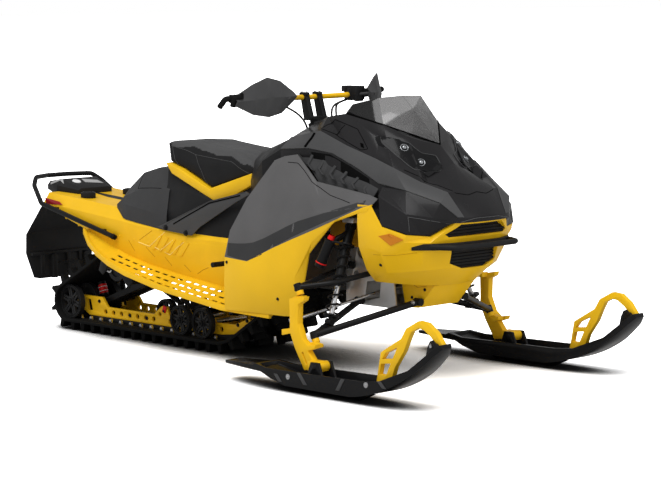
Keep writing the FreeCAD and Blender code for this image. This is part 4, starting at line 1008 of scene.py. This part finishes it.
@dataclass
class SeatDress:
    """Foam seat under a stretched cover, with its sewn seams, its rear panel and a lighter top panel, lighter partly
    for painted light on its upward faces.
    """

    edge: float = 0.014
    sharp_deg: float = 20.0
    inset: float = 0.0025
    voxel: float = 0.0055
    pressure: float = 2.0
    frames: int = 20
    cap: float = 0.0025
    seam_radius: float = 0.0011
    top_hem: float = 0.834  # height of the top panel's edge amidships
    hem_rise: tuple[float, float, float] = (-0.36, 0.2, 0.04)  # where it starts to rise, over what length, how much
    hem_fall: tuple[float, float] = (-0.30, 0.24)  # where it starts to fall, and its slope
    panel_turn: float = 0.45  # how far a face points up or back before it belongs to the top or rear panel
    rear_x: float = -0.44
    seams_mm: tuple[tuple[str, Line], ...] = (
        ("seat_seam_side", ((-522, 120, 874), (-489, 127, 862), (-401, 133, 850), (-341, 140, 836), (-288, 152, 772),
                            (-245, 160, 706))),
        ("seat_seam_top", ((-341, 140, 836), (-200, 138, 822), (-97, 136, 812), (20, 150, 770), (60, 160, 752))),
        ("seat_seam_rear", ((-524, 118, 881), (-500, 131, 846), (-452, 152, 786))),
    )

    def inflated(self, frame: Frame) -> bpy.types.Object:
        """Turn the cushion's solid into a crowned, padded form.

        Args:
            frame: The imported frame.

        Returns:
            The pad.
        """
        shape = rounded_copy(frame.nodes["seat_cushion"].data, self.edge, 3, self.sharp_deg)
        bmesh.ops.recalc_face_normals(shape, faces=shape.faces)
        for vert in shape.verts:
            vert.co -= vert.normal * self.inset
        pad = finish_mesh(shape, "seat_pad", Paint.SEAT, 180)
        remesh = pad.modifiers.new("remesh", "REMESH")
        remesh.mode = "VOXEL"
        remesh.voxel_size = self.voxel
        self.apply(pad)
        start = [vert.co.copy() for vert in pad.data.vertices]
        self.simulate(pad)
        for vert, place in zip(pad.data.vertices, start):
            move = vert.co - place
            if move.length > self.cap:
                vert.co = place + move.normalized() * self.cap
        smooth = pad.modifiers.new("smooth", "CORRECTIVE_SMOOTH")
        smooth.iterations = 6
        smooth.use_only_smooth = True
        self.apply(pad)
        for polygon in pad.data.polygons:
            polygon.use_smooth = True
        return pad

    def apply(self, piece: bpy.types.Object) -> None:
        """Bake a piece's modifiers into its mesh.

        Args:
            piece: The piece.
        """
        graph = bpy.context.evaluated_depsgraph_get()
        graph.update()
        mesh = bpy.data.meshes.new_from_object(piece.evaluated_get(graph))
        old = piece.data
        piece.modifiers.clear()
        piece.data = mesh
        bpy.data.meshes.remove(old)

    def simulate(self, pad: bpy.types.Object) -> None:
        """Swell the pad by cloth pressure.

        Args:
            pad: The pad.
        """
        scene = bpy.context.scene
        cloth = pad.modifiers.new("cloth", "CLOTH")
        cloth.settings.use_pressure = True
        cloth.settings.uniform_pressure_force = self.pressure
        cloth.settings.effector_weights.gravity = 0.0
        cloth.settings.quality = 3
        cloth.collision_settings.use_collision = False
        cloth.point_cache.frame_start = 1
        cloth.point_cache.frame_end = self.frames
        for step in range(1, self.frames + 1):
            scene.frame_set(step)
        self.apply(pad)
        scene.frame_set(1)

    def panel_of(self, polygon: bpy.types.MeshPolygon) -> int:
        """Tell which panel of the cover a face belongs to.

        Args:
            polygon: The face.

        Returns:
            0 for the sides, 1 for the top panel and 2 for the rear panel.
        """
        place = polygon.center
        rise_x, rise_over, rise = self.hem_rise
        fall_x, slope = self.hem_fall
        hem = self.top_hem + rise * min(1.0, max(0.0, (rise_x - place.x) / rise_over))
        hem -= max(0.0, place.x - fall_x) * slope
        if polygon.normal.x < -self.panel_turn and place.x < self.rear_x:
            return 2
        return 1 if polygon.normal.z > self.panel_turn and place.z > hem else 0

    def build(self, frame: Frame) -> None:
        """Make the seat.

        Args:
            frame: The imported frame.
        """
        pad = self.inflated(frame)
        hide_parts("seat_cushion")
        frame.settle(pad, "seat_cushion")
        # the upward faces of the top panel get a lighter colour, partly painted light
        pad.data.materials.append(Paint.SEAT_TOP.value.build())
        pad.data.materials.append(Paint.SEAT_REAR.value.build())
        for polygon in pad.data.polygons:
            polygon.material_index = self.panel_of(polygon)
        tree = surface_of(pad.data)
        for name, line in self.seams_mm:
            for side, suffix in SIDES.items():
                thread = tube(lay_line(tree, [mirror_y(corner, side) for corner in line]), self.seam_radius, 1)
                frame.fit(thread, name + suffix, Paint.GREY_PLASTIC, "seat_cushion", TUBE_SMOOTH_DEG)


@dataclass
class NoseDress:
    """Lamps, panel gaps, painted shade in creases, painted highlights along edges, latches, markers and screws of the
    front bodywork.
    """

    seams: tuple[Seam, ...] = (
        Seam("side_hatch_gap", "hood", 0.0013, Paint.GAP, (
            (521, 203, 976), (535, 178, 993), (567, 170, 1014), (661, 199, 1000), (728, 201, 983), (769, 212, 946),
            (807, 221, 909), (772, 226, 904), (702, 223, 928), (601, 202, 959), (521, 203, 976))),
        Seam("side_hatch_bar", "hood", 0.0013, Paint.GAP, ((654, 198, 996), (620, 193, 975), (609, 205, 955))),
        Seam("hood_vee_gap", "hood", 0.0013, Paint.GAP, (
            (984, 202, 835), (1042, 174, 809), (1085, 126, 778), (1161, 106, 750), (1176, 51, 739), (1172, 0, 748))),
        Seam("panel_strip_gap", "upper_side_panels", 0.0013, Paint.GAP, (
            (428, 298, 846), (491, 301, 845), (529, 305, 820), (585, 314, 776), (697, 323, 731), (821, 334, 708))),
        Seam("trunk_fold_gap", "storage_box", 0.0013, Paint.GAP, (
            (-728, 113, 736), (-710, 162, 670), (-619, 168, 679), (-540, 168, 682))),
        # painted shade along the creases of the nose and belly
        Seam("nose_crease_shade", "nose_frame", 0.0009, Paint.YELLOW_SHADE, (
            (940, 331, 516), (977, 328, 518), (1060, 275, 524), (1095, 247, 528))),
        Seam("belly_crease_shade", "nose_frame", 0.0009, Paint.YELLOW_SHADE, (
            (930, 180, 378), (963, 110, 372), (1060, 97, 392))),
        # painted highlights along the edges of the cheeks and the hood's lip
        Seam("cheek_corner_highlight", "nose_cheeks", 0.0008, Paint.EDGE_LINE, (
            (1088, 287, 667), (1092, 286, 633), (1091, 286, 600))),
        Seam("cheek_fold_highlight", "nose_cheeks", 0.0008, Paint.EDGE_LINE, (
            (1088, 287, 667), (1117, 252, 659), (1151, 206, 648), (1186, 160, 637))),
        Seam("hood_lip_highlight", "hood", 0.0008, Paint.EDGE_LINE, (
            (1205, 148, 641), (1219, 108, 647), (1227, 62, 655), (1229, 0, 655))),
    )
    panels: tuple[Patch, ...] = (
        Patch("panel_hem", ("upper_side_panels",), (
            (136, -369, 508), (234, -374, 512), (322, -376, 526), (446, -373, 578), (541, -367, 619),
            (708, -350, 668), (824, -337, 701), (900, -324, 722),
        ), (
            (134, -371, 458), (206, -377, 449), (290, -381, 447), (459, -375, 530), (568, -367, 577),
            (684, -355, 623), (807, -347, 668), (900, -334, 702),
        ), (0.15, -0.97, 0.12), Paint.HEM, "grey_body", 0.0008),
        Patch("vent_recess", ("hood",), ((515, -250, 886), (625, -253, 882), (740, -255, 842), (850, -259, 798)),
              ((530, -290, 826), (648, -280, 778), (776, -290, 756), (870, -290, 748)),
              (0.2, -0.8, 0.55), Paint.RECESS, "gloss_black", 0.0008),
    )
    notch: Seam = Seam("vent_notch", "hood_strips", 0.006, Paint.GAP, (
        (504, 220, 960), (498, 231, 941), (485, 241, 921), (478, 252, 905)))
    lens: Patch = Patch(
        "headlight_lens", ("headlights", "hood"),
        ((819, -184, 958), (873, -172, 952), (909, -148, 944), (935, -125, 932), (975, -100, 895), (1006, -50, 881),
         (1029, -52, 855), (1051, -68, 826)),
        ((819, -184, 958), (862, -194, 937), (905, -188, 911), (961, -184, 867), (987, -180, 850), (1013, -172, 834),
         (1033, -110, 828), (1051, -68, 826)),
        (0.62, -0.42, 0.66), Paint.LENS, "lamp_glass")
    bezel: float = 0.0018
    bezel_lift: float = 0.001
    projectors_mm: Line = ((934.0, 151.0, 914.0), (998.0, 124.0, 858.0))
    projector_lift: float = 0.0035
    projector_ring: tuple[float, float] = (0.015, 0.0016)  # radius and half thickness
    dome: float = 0.009
    dome_lift: float = 0.002
    dome_flat: float = 0.6
    screws_mm: tuple[tuple[str, Point], ...] = (
        ("nose_frame", (1000, 104, 366)), ("nose_frame", (930, 104, 330)), ("nose_frame", (960, 320, 470)),
        ("lower_side_panels", (130, 371, 430)), ("lower_side_panels", (420, 368, 300)),
        ("lower_side_panels", (560, 350, 450)), ("upper_side_panels", (150, 362, 500)),
    )
    screw: float = 0.007
    latch: Patch = Patch("hatch_latch", ("hood",), ((759, -217, 931), (776, -218, 928)),
                         ((768, -222, 916), (786, -223, 911)), (0.3, -0.8, 0.5), Paint.GAP, "black_plastic", 0.0015)
    marker: Patch = Patch("marker_lens", ("side_markers",), ((982, -340, 592), (1028, -325, 602), (1078, -301, 580)),
                          ((982, -340, 592), (1028, -320, 556), (1078, -301, 580)), (0.45, -0.88, 0.1), Paint.AMBER,
                          "amber_lens", 0.003, cast=False)

    def build_lamps(self, frame: Frame) -> None:
        """Make the lamp lenses, their bezels and the projectors.

        Args:
            frame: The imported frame.
        """
        frame.patch(self.lens)
        outline = [(x, -y, z) for x, y, z in (*self.lens.upper, *self.lens.lower[-2::-1])]
        tree = frame.surface("headlights")
        for side, suffix in SIDES.items():
            rim = tube(frame.line_on("hood", outline, side, self.bezel_lift), self.bezel, 2)
            frame.fit(rim, "lamp_bezel" + suffix, Paint.RIB, "headlights", TUBE_SMOOTH_DEG)
            rings, domes = bmesh.new(), bmesh.new()
            for place in self.projectors_mm:
                near, normal, _, _ = tree.find_nearest(mirror_y(place, side))
                near = near + normal * self.projector_lift
                add_ring(rings, near, normal, *self.projector_ring, 32, 8)
                dome = bmesh.ops.create_uvsphere(domes, u_segments=24, v_segments=14, radius=self.dome)["verts"]
                turn = normal.to_track_quat("Z", "Y").to_matrix().to_4x4()
                turn = Matrix.Translation(near + normal * self.dome_lift) @ turn
                bmesh.ops.transform(domes, matrix=turn @ Matrix.Diagonal((1.0, 1.0, self.dome_flat, 1.0)), verts=dome)
            frame.fit(rings, "projector_rings" + suffix, Paint.LAMP_LIGHT, "headlights", 40)
            frame.fit(domes, "projector_lenses" + suffix, Paint.LAMP_LIGHT, "headlights", 60)

    def build_screws(self, frame: Frame) -> None:
        """Make the screws of the belly and side panels.

        Args:
            frame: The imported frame.
        """
        shape = bmesh.new()
        for node, place in self.screws_mm:
            tree = frame.surface(node)
            for side in SIDES:
                near, normal, _, _ = tree.find_nearest(mirror_y(place, side))
                add_bolt(shape, near, normal, self.screw)
        frame.fit(shape, "body_screws", Paint.BLACK_METAL, "nose_frame")

    def build(self, frame: Frame) -> None:
        """Dress the nose.

        Args:
            frame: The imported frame.
        """
        for line in self.seams:
            frame.seam(line)
        for plate in self.panels:
            frame.patch(plate)
        frame.seam(self.notch)
        self.build_lamps(frame)
        self.build_screws(frame)
        frame.patch(self.latch)
        frame.patch(self.marker)


@dataclass
class CockpitDress:
    """Grip ribs, clamps, switches, levers and cables of the handlebar."""

    bar_mm: float = 1089.0
    clamp_mm: float = 242.0
    ribs: int = 11
    rib_first: float = 0.012
    rib_pitch: float = 0.010
    rib: tuple[float, float] = (0.0165, 0.0022)  # radius and half thickness
    collar_at: float = 0.119
    collar: tuple[float, float] = (0.0195, 0.004)
    hook: float = 0.0125
    clamp_y_mm: float = 36.0
    clamp: Point = (0.042, 0.024, 0.018)
    clamp_bolt: float = 0.006
    lever: float = 0.0055
    lever_bow: float = 0.014
    switch_turn_deg: float = -21.0
    housings: tuple[tuple[Point, Point, float], ...] = (
        # x, y and height over the bar in millimetres, size in metres, edge radius
        ((286, 196, 6), (0.052, 0.058, 0.052), 0.008), ((262, 190, 28), (0.040, 0.046, 0.026), 0.006),
        ((300, 216, -10), (0.030, 0.036, 0.030), 0.006),
    )
    keys_mm: Line = ((256, 186, -6), (254, 189, 8), (252, 192, 22))
    key: Point = (0.008, 0.014, 0.008)
    hook_mm: Line = ((262, 388, 1108), (238, 393, 1103), (219, 395, 1091), (211, 395, 1064))
    cables_mm: tuple[tuple[str, Line], ...] = (
        ("throttle_cable", ((262, -190, 1068), (288, -150, 1046), (318, -118, 1012), (330, -96, 962),
                            (322, -92, 930))),
        ("brake_hose", ((276, 176, 1074), (282, 128, 1066), (300, 84, 1052), (312, 78, 1000), (312, 76, 935))),
        ("switch_wire", ((268, 170, 1070), (262, 130, 1062), (262, 96, 1040), (292, 70, 990), (305, 62, 932))),
    )
    cable: float = 0.0045

    def build_grips(self, frame: Frame) -> None:
        """Make the moulded ribs of both grips and the hooks at their ends.

        Args:
            frame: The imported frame.
        """
        shape = bmesh.new()
        for side in SIDES:
            outer = mirror_y((200, 392, self.bar_mm + 6), side)
            inner = mirror_y((296, 150, self.bar_mm + 4), side)
            along = (inner - outer).normalized()
            for i in range(self.ribs):
                add_ring(shape, outer + along * (self.rib_first + self.rib_pitch * i), along, *self.rib, 24, 6)
            add_ring(shape, outer + along * self.collar_at, along, *self.collar, 28, 8)
        frame.fit(shape, "grip_ribs", Paint.GRIP, "grips", 60)
        for side, suffix in SIDES.items():
            hook = tube([mirror_y(corner, side) for corner in self.hook_mm], self.hook, 5)
            frame.fit(hook, "grip_hook" + suffix, Paint.GRIP, "grips", TUBE_SMOOTH_DEG)

    def build_clamps(self, frame: Frame) -> None:
        """Make the caps and bolts that hold the bar on the riser.

        Args:
            frame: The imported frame.
        """
        caps, bolts = bmesh.new(), bmesh.new()
        for side in SIDES:
            y = side * self.clamp_y_mm
            add_brick(caps, (self.clamp_mm, y, self.bar_mm + 12), self.clamp, 0.004)
            for dx in (-14, 14):
                add_bolt(bolts, Vector((self.clamp_mm + dx, y, self.bar_mm + 21)) * MM, UP, self.clamp_bolt)
            front = Vector((self.clamp_mm + 16, y, self.bar_mm - 30)) * MM
            add_bolt(bolts, front, Vector((1, 0, 0)), self.clamp_bolt)
        frame.fit(caps, "bar_clamps", Paint.BLACK_METAL, "riser")
        frame.fit(bolts, "clamp_bolts", Paint.STEEL, "riser")

    def build_switches(self, frame: Frame) -> None:
        """Make the levers, and the control cluster with its buttons.

        Args:
            frame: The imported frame.
        """
        housings, keys = bmesh.new(), bmesh.new()
        slant = Matrix.Rotation(math.radians(self.switch_turn_deg), 3, "Z")
        for (x, y, dz), size, edge in self.housings:
            add_brick(housings, (x, y, self.bar_mm + dz), size, edge, slant)
        for x, y, dz in self.keys_mm:
            add_brick(keys, (x, y, self.bar_mm + dz), self.key, 0.002, slant)
        for side, suffix in SIDES.items():
            start = mirror_y((300, 205, self.bar_mm + 4), side)
            end = mirror_y((262, 352, self.bar_mm + 2), side)
            middle = (start + end) / 2 + Vector((self.lever_bow, 0.0, 0.0))
            lever = tube([start, middle, end], self.lever)
            frame.fit(lever, "lever" + suffix, Paint.BLACK_METAL, "handlebar", TUBE_SMOOTH_DEG)
        frame.fit(housings, "control_housings", Paint.BLACK_PLASTIC, "handlebar")
        frame.fit(keys, "control_buttons", Paint.GREY_PLASTIC, "handlebar")

    def build_cables(self) -> None:
        """Make the throttle cable, the brake hose and the wire that run down into the console.
        """
        for name, line in self.cables_mm:
            points = [Vector(corner) * MM for corner in line]
            cable = finish_mesh(tube(points, self.cable), name, Paint.BLACK_METAL, TUBE_SMOOTH_DEG)
            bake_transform(cable)

    def build(self, frame: Frame) -> None:
        """Dress the handlebar.

        Args:
            frame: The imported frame.
        """
        self.build_grips(frame)
        self.build_clamps(frame)
        self.build_switches(frame)
        self.build_cables()


@dataclass
class FrontDress:
    """Reservoirs, knobs, hoses, joints and bolts of the front suspension, and the inner fenders."""

    can_foot_mm: Point = (664.0, 352.0, 452.0)
    can_top_mm: Point = (704.0, 330.0, 556.0)
    knob: tuple[float, float] = (0.0150, 0.0125)  # radius at its foot and top
    knob_span: tuple[float, float] = (0.004, 0.020)
    neck: float = 0.011
    neck_span: tuple[float, float] = (-0.002, 0.005)
    shock_foot_mm: Point = (775.0, 405.0, 250.0)
    shock_top_mm: Point = (735.0, 250.0, 605.0)
    shaft_reach: tuple[float, float] = (0.03, 0.169)
    shaft: float = 0.0105
    can_ring_share: float = 0.14
    can_ring: tuple[float, float] = (0.0212, 0.0028)  # radius and half thickness
    bolt: float = 0.009
    bolts_mm: Line = ((975, 152, 318), (846, 152, 440), (690, 152, 302))
    liner_mm: Outline = ((570, 520), (570, 660), (640, 690), (860, 692), (880, 560), (760, 520))
    liner_y_mm: float = 203.0
    liner_wall: float = 0.002
    balls_mm: Line = ((690.0, 490.0, 385.0), (778.0, 490.0, 208.0))
    boot_ribs_mm: Point = (-10, -4, 2)
    boot_rib: tuple[float, float] = (0.0125, 0.003)
    hose: float = 0.004
    hose_mm: Line = ((704, 330, 548), (735, 345, 556), (768, 330, 548), (770, 300, 520), (735, 300, 508),
                     (712, 318, 524), (724, 332, 556), (742, 290, 584), (738, 264, 600))

    def build(self, frame: Frame) -> None:
        """Make the fittings.

        Args:
            frame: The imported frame.
        """
        knobs, bolts, necks, shafts, liners, boots = (bmesh.new() for _ in range(6))
        for side in SIDES:
            start, end = mirror_y(self.can_foot_mm, side), mirror_y(self.can_top_mm, side)
            along = (end - start).normalized()
            add_rod(knobs, *(end + along * reach for reach in self.knob_span), *self.knob, 24)
            add_rod(necks, *(end + along * reach for reach in self.neck_span), self.neck)
            add_ring(knobs, start.lerp(end, self.can_ring_share), along, *self.can_ring, 32, 8)
            low, high = mirror_y(self.shock_foot_mm, side), mirror_y(self.shock_top_mm, side)
            shaft = (high - low).normalized()
            add_rod(shafts, *(low + shaft * reach for reach in self.shaft_reach), self.shaft, None, 24)
            for place in self.bolts_mm:
                add_bolt(bolts, mirror_y(place, side), ACROSS * side, self.bolt)
            ring = [mirror_y((x, self.liner_y_mm, z), side) for x, z in self.liner_mm]
            add_plate(liners, ring, outward(side) * self.liner_wall, 0.0005)
            for place in self.balls_mm:
                for rib in self.boot_ribs_mm:
                    centre = mirror_y(place, side) + Vector((0, 0, rib * MM))
                    add_ring(boots, centre, UP, *self.boot_rib, 24, 6)
        frame.fit(knobs, "shock_knobs", Paint.RED_KNOB, "front_shocks", 40)
        frame.fit(bolts, "bulkhead_bolts", Paint.STEEL, "front_bulkhead")
        frame.fit(necks, "shock_necks", Paint.BLACK_METAL, "front_shocks", 40)
        frame.fit(shafts, "shock_shafts", Paint.STEEL, "front_shocks", 40)
        # the inner fenders are painted a darker yellow for the shade they sit in
        frame.fit(liners, "inner_fenders", Paint.YELLOW_SHADE, "nose_frame")
        frame.fit(boots, "ball_boots", Paint.GRIP, "lower_arms", 60)
        for side, suffix in SIDES.items():
            hose = tube([mirror_y(corner, side) for corner in self.hose_mm], self.hose)
            frame.fit(hose, "shock_hose" + suffix, Paint.BLACK_METAL, "front_shocks", TUBE_SMOOTH_DEG)


@dataclass
class SkiDress:
    """Wall ribs, bolts and tip brackets of the skis."""

    wall_mm: float = 612.0
    ribs_mm: tuple[tuple[float, float, float, float], ...] = (
        # foot x, foot z, top x, top z
        (690.0, 64.0, 716.0, 36.0), (822.0, 82.0, 858.0, 40.0), (1066.0, 86.0, 1036.0, 40.0),
        (1258.0, 100.0, 1284.0, 76.0),
    )
    rib_width_mm: float = 20.0
    rib_wall: float = 0.004
    bracket_wall: float = 0.005
    washer: tuple[float, float] = (0.0015, 0.011)  # height and radius
    bolts_mm: Outline = ((1188, 78), (760, 60))
    tip_bolt_mm: Point = (1474, 557, 246)
    bracket_mm: Outline = ((1440, 200), (1450, 240), (1462, 262), (1478, 268), (1494, 256), (1508, 226))
    bracket_faces_mm: tuple[float, float] = (524, 551)

    def build_side(self, frame: Frame, side: int, suffix: str) -> None:
        """Dress one ski.

        Args:
            frame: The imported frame.
            side: -1 for the right side, 1 for the left.
            suffix: The side's ending of names.
        """
        node, out = "ski" + suffix, outward(side)
        for vert in bpy.data.objects[node + "_shell"].data.vertices:
            if abs(vert.co.y) > self.wall_mm * MM:
                vert.co.y = side * self.wall_mm * MM
        ribs, bolts, plates = (bmesh.new() for _ in range(3))
        half = self.rib_width_mm / 2
        for x0, z0, x1, z1 in self.ribs_mm:
            corners = [(x0 - half, z0), (x0 + half, z0), (x1 + half, z1), (x1 - half, z1)]
            outline = [mirror_y((x, self.wall_mm - 1, z), side) for x, z in corners]
            add_plate(ribs, outline, out * self.rib_wall, 0.001)
        for x, z in self.bolts_mm:
            place = mirror_y((x, self.wall_mm, z), side)
            height, radius = self.washer
            add_rod(bolts, place, place + out * height, radius, 0.0105, 24)
            add_bolt(bolts, place, out, 0.0052)
        add_bolt(bolts, mirror_y(self.tip_bolt_mm, side), out, 0.011)
        for face in self.bracket_faces_mm:
            outline = [mirror_y((x, face, z), side) for x, z in self.bracket_mm]
            add_plate(plates, outline, out * self.bracket_wall, 0.0012)
        frame.fit(ribs, "ski_ribs" + suffix, Paint.RIB, node)
        frame.fit(bolts, "ski_bolts" + suffix, Paint.STEEL, node)
        frame.fit(plates, "ski_brackets" + suffix, Paint.BLACK_PLASTIC, node)

    def build(self, frame: Frame) -> None:
        """Dress both skis.

        Args:
            frame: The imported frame.
        """
        for side, suffix in SIDES.items():
            self.build_side(frame, side, suffix)


@dataclass
class RearDress:
    """Bumper caps, strut bolts, flap ribs, tail plates, and the rivets of the tunnel with painted highlights and
    painted shade along its pressed lines.
    """

    tunnel_side_mm: float = 208.0
    bumper_mm: Line = ((-800, 226, 455), (-818, 226, 459))
    bumper_cap: tuple[float, float] = (0.0125, 0.0115)
    bumper_bolt: float = 0.005
    rivets: int = 9
    rivet: tuple[float, float] = (0.0055, 0.004)  # radius at its foot and top
    rivet_span: tuple[float, float] = (-0.001, 0.0016)
    rivet_first_mm: tuple[float, float] = (-1290, 500)
    rivet_step_mm: tuple[float, float] = (100, -8)
    strut_bolts_mm: Outline = ((-452, 520), (-318, 506))
    strut_bolt_out_mm: float = 9.5
    strut_bolt: float = 0.013
    strut_lines: tuple[Seam, ...] = (
        Seam("strut_groove", "strut_plates", 0.0028, Paint.GAP, (
            (-400, 217.5, 540), (-300, 217.5, 584), (-160, 217.5, 643), (40, 217.5, 686))),
        # painted highlight along the strut plate's edge
        Seam("strut_edge_highlight", "strut_plates", 0.0015, Paint.RIB, (
            (-480, 217.5, 524), (-380, 217.5, 566), (-160, 217.5, 650), (70, 217.5, 701))),
    )
    flap_ribs: tuple[tuple[Point, Point, float], ...] = (
        # middle in millimetres, size in metres, edge radius
        ((-1508, -44, 258), (0.026, 0.026, 0.110), 0.004), ((-1508, 136, 258), (0.026, 0.026, 0.110), 0.004),
        ((-1514, 0, 322), (0.018, 0.340, 0.014), 0.004), ((-1512, 46, 272), (0.014, 0.170, 0.008), 0.003),
    )
    anchor_mm: Point = (-1130, 120, 629)
    anchor_rim: tuple[float, float] = (0.024, 0.004)  # radius and half thickness
    anchor_bore: tuple[float, float] = (0.010, 0.002)
    plates: tuple[Patch, ...] = (
        Patch("tunnel_stripe", ("tunnel",), ((-1240, 16, 620), (-1100, 20, 604), (-840, 20, 590)),
              ((-1240, -2, 620), (-1100, -30, 604), (-840, -30, 590)), (0.0, 0.0, 1.0), Paint.BLACK_PLASTIC,
              "black_plastic", both=False),
        Patch("tail_plate_right", ("rear_lamp_housing",), ((-1455, -92, 650), (-1355, -96, 671)),
              ((-1440, -104, 637), (-1330, -108, 653)), (0.1, 0.0, 1.0), Paint.LABEL, "bare_steel", both=False),
        Patch("tail_plate_left", ("rear_lamp_housing",), ((-1340, 0, 672), (-1314, 72, 665)),
              ((-1300, -8, 660), (-1274, 78, 652)), (0.1, 0.0, 1.0), Paint.LABEL, "bare_steel", both=False),
    )
    cap_mm: Point = (-1318, -44, 665)
    cap: tuple[float, float] = (0.021, 0.019)
    cap_height: float = 0.003
    # painted highlight along the tunnel's pressed ridges
    press_highlight_radius: float = 0.0022
    press_mm: tuple[Outline, ...] = (
        ((-657, 443), (-618, 436), (-580, 429), (-527, 465), (-471, 500)),
        ((-538, 428), (-504, 417), (-459, 444), (-414, 469)),
        ((-474, 413), (-440, 402), (-388, 437), (-343, 465)),
    )
    # painted shade along the tunnel's folds
    fold_shade_radius: float = 0.0011
    fold_mm: tuple[Outline, ...] = (
        ((-649, 453), (-560, 500)), ((-727, 447), (-683, 402)), ((-605, 425), (-543, 386)),
        ((-474, 391), (-428, 356)), ((-343, 367), (-300, 340)), ((-257, 335), (-220, 355), (-183, 368)),
    )

    def build_tunnel(self, frame: Frame) -> None:
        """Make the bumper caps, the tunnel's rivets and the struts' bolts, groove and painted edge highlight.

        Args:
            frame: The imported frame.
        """
        caps, rivets, bolts = (bmesh.new() for _ in range(3))
        for side in SIDES:
            start, end = (mirror_y(place, side) for place in self.bumper_mm)
            add_rod(caps, end, start, *self.bumper_cap, 24)
            add_bolt(caps, start, start - end, self.bumper_bolt)
            for x, z in self.strut_bolts_mm:
                place = mirror_y((x, self.tunnel_side_mm + self.strut_bolt_out_mm, z), side)
                add_bolt(bolts, place, outward(side), self.strut_bolt)
        tree = frame.surface("tunnel")
        for i in range(self.rivets):
            x, z = (first + step * i for first, step in zip(self.rivet_first_mm, self.rivet_step_mm))
            for side in SIDES:
                near, normal, _, _ = tree.find_nearest(mirror_y((x, self.tunnel_side_mm, z), side))
                add_rod(rivets, *(near + normal * reach for reach in self.rivet_span), *self.rivet, 16)
        frame.fit(caps, "bumper_caps", Paint.GRIP, "rear_bumper")
        frame.fit(rivets, "tunnel_rivets", Paint.YELLOW_METAL, "tunnel")
        frame.fit(bolts, "strut_bolts", Paint.BLACK_METAL, "strut_plates")
        for line in self.strut_lines:
            frame.seam(line)

    def build_tail(self, frame: Frame) -> None:
        """Make the flap's ribs, the anchors' rims and the plates and cap on the tail.

        Args:
            frame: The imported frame.
        """
        ribs, rims, cap = (bmesh.new() for _ in range(3))
        for middle, size, edge in self.flap_ribs:
            add_brick(ribs, middle, size, edge)
        frame.fit(ribs, "flap_ribs", Paint.FLAP, "snow_flap")
        for side in SIDES:
            anchor = mirror_y(self.anchor_mm, side)
            add_ring(rims, anchor, UP, *self.anchor_rim, 32, 8)
            add_ring(rims, anchor + UP * MM, UP, *self.anchor_bore, 24, 8)
        frame.fit(rims, "anchor_rims", Paint.BLACK_PLASTIC, "cargo_anchors", 60)
        for plate in self.plates:
            frame.patch(plate)
        near, normal, _, _ = frame.surface("rear_lamp_housing").find_nearest(Vector(self.cap_mm) * MM)
        add_rod(cap, near, near + normal * self.cap_height, *self.cap, 32)
        frame.fit(cap, "tail_cap", Paint.WHITE, "rear_lamp_housing", 40)

    def build(self, frame: Frame) -> None:
        """Dress the tail.

        Args:
            frame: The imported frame.
        """
        self.build_tunnel(frame)
        self.build_tail(frame)
        # painted highlights along the tunnel's pressed ridges and painted shade along its folds
        for name, paint, radius, lines in (
            ("tunnel_press_highlight", Paint.YELLOW_LIGHT, self.press_highlight_radius, self.press_mm),
            ("tunnel_fold_shade", Paint.YELLOW_SHADE, self.fold_shade_radius, self.fold_mm),
        ):
            for i, line in enumerate(lines):
                corners = tuple((x, self.tunnel_side_mm, z) for x, z in line)
                frame.seam(Seam(f"{name}_{i + 1}", "tunnel", radius, paint, corners))


SOFT_EDGES = {
    # node: edge radius in metres
    "hood": 0.004, "upper_side_panels": 0.003, "lower_side_panels": 0.003, "nose_frame": 0.005,
    "nose_cheeks": 0.003, "console": 0.005, "seat_base": 0.004, "seat_pedestal": 0.004, "storage_box": 0.009,
    "strut_plates": 0.0015, "snow_flap": 0.003, "rear_lamp_housing": 0.004, "front_bumper": 0.003,
    "grilles": 0.001, "ski_right": 0.004, "ski_left": 0.004, "ski_loop_right": 0.003, "ski_loop_left": 0.003,
    "spindle_right": 0.003, "spindle_left": 0.003, "handguards": 0.003, "running_boards": 0.0012,
    "tunnel": 0.002, "slide_rails": 0.001, "hand_controls": 0.004, "riser": 0.002, "front_bulkhead": 0.001,
    "suspension_hangers": 0.001, "swing_arms": 0.002, "engine_block": 0.008, "track": 0.002,
    "cargo_anchors": 0.002, "rail_sliders": 0.001, "rear_lights": 0.001, "side_markers": 0.001,
    "headlights": 0.002, "vent_louvres": 0.0015, "hood_strips": 0.0012,
}

NODE_PAINT = {
    "hood_strips": Paint.GREY_STRIP, "strut_plates": Paint.GREY_STRIP, "storage_box": Paint.BOX,
    "vent_louvres": Paint.BOX, "snow_flap": Paint.FLAP,
}

MADE_BY_CLASSES = ("seat_cushion", "windshield")


def main() -> None:
    """Build the dressed snowmobile."""
    logging.basicConfig(level=logging.INFO, format="%(message)s")
    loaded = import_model()
    frame = Frame(loaded["nodes"])
    Studio().build()
    for node in sorted(frame.nodes):
        if node in MADE_BY_CLASSES:
            continue
        paint = NODE_PAINT.get(node, SLOT_PAINT[frame.slot_of(node)])
        if node in SOFT_EDGES:
            frame.soften(node, SOFT_EDGES[node], paint)
        else:
            frame.paint_node(node, paint)
    LOG.info("built finishes")
    for part in (ScreenDress(), TrackDress(), WheelDress(), RailDress(), SeatDress(), NoseDress(), CockpitDress(),
                 FrontDress(), SkiDress(), RearDress()):
        part.build(frame)
        LOG.info("built %s", type(part).__name__)


if __name__ == "__main__":
    main()
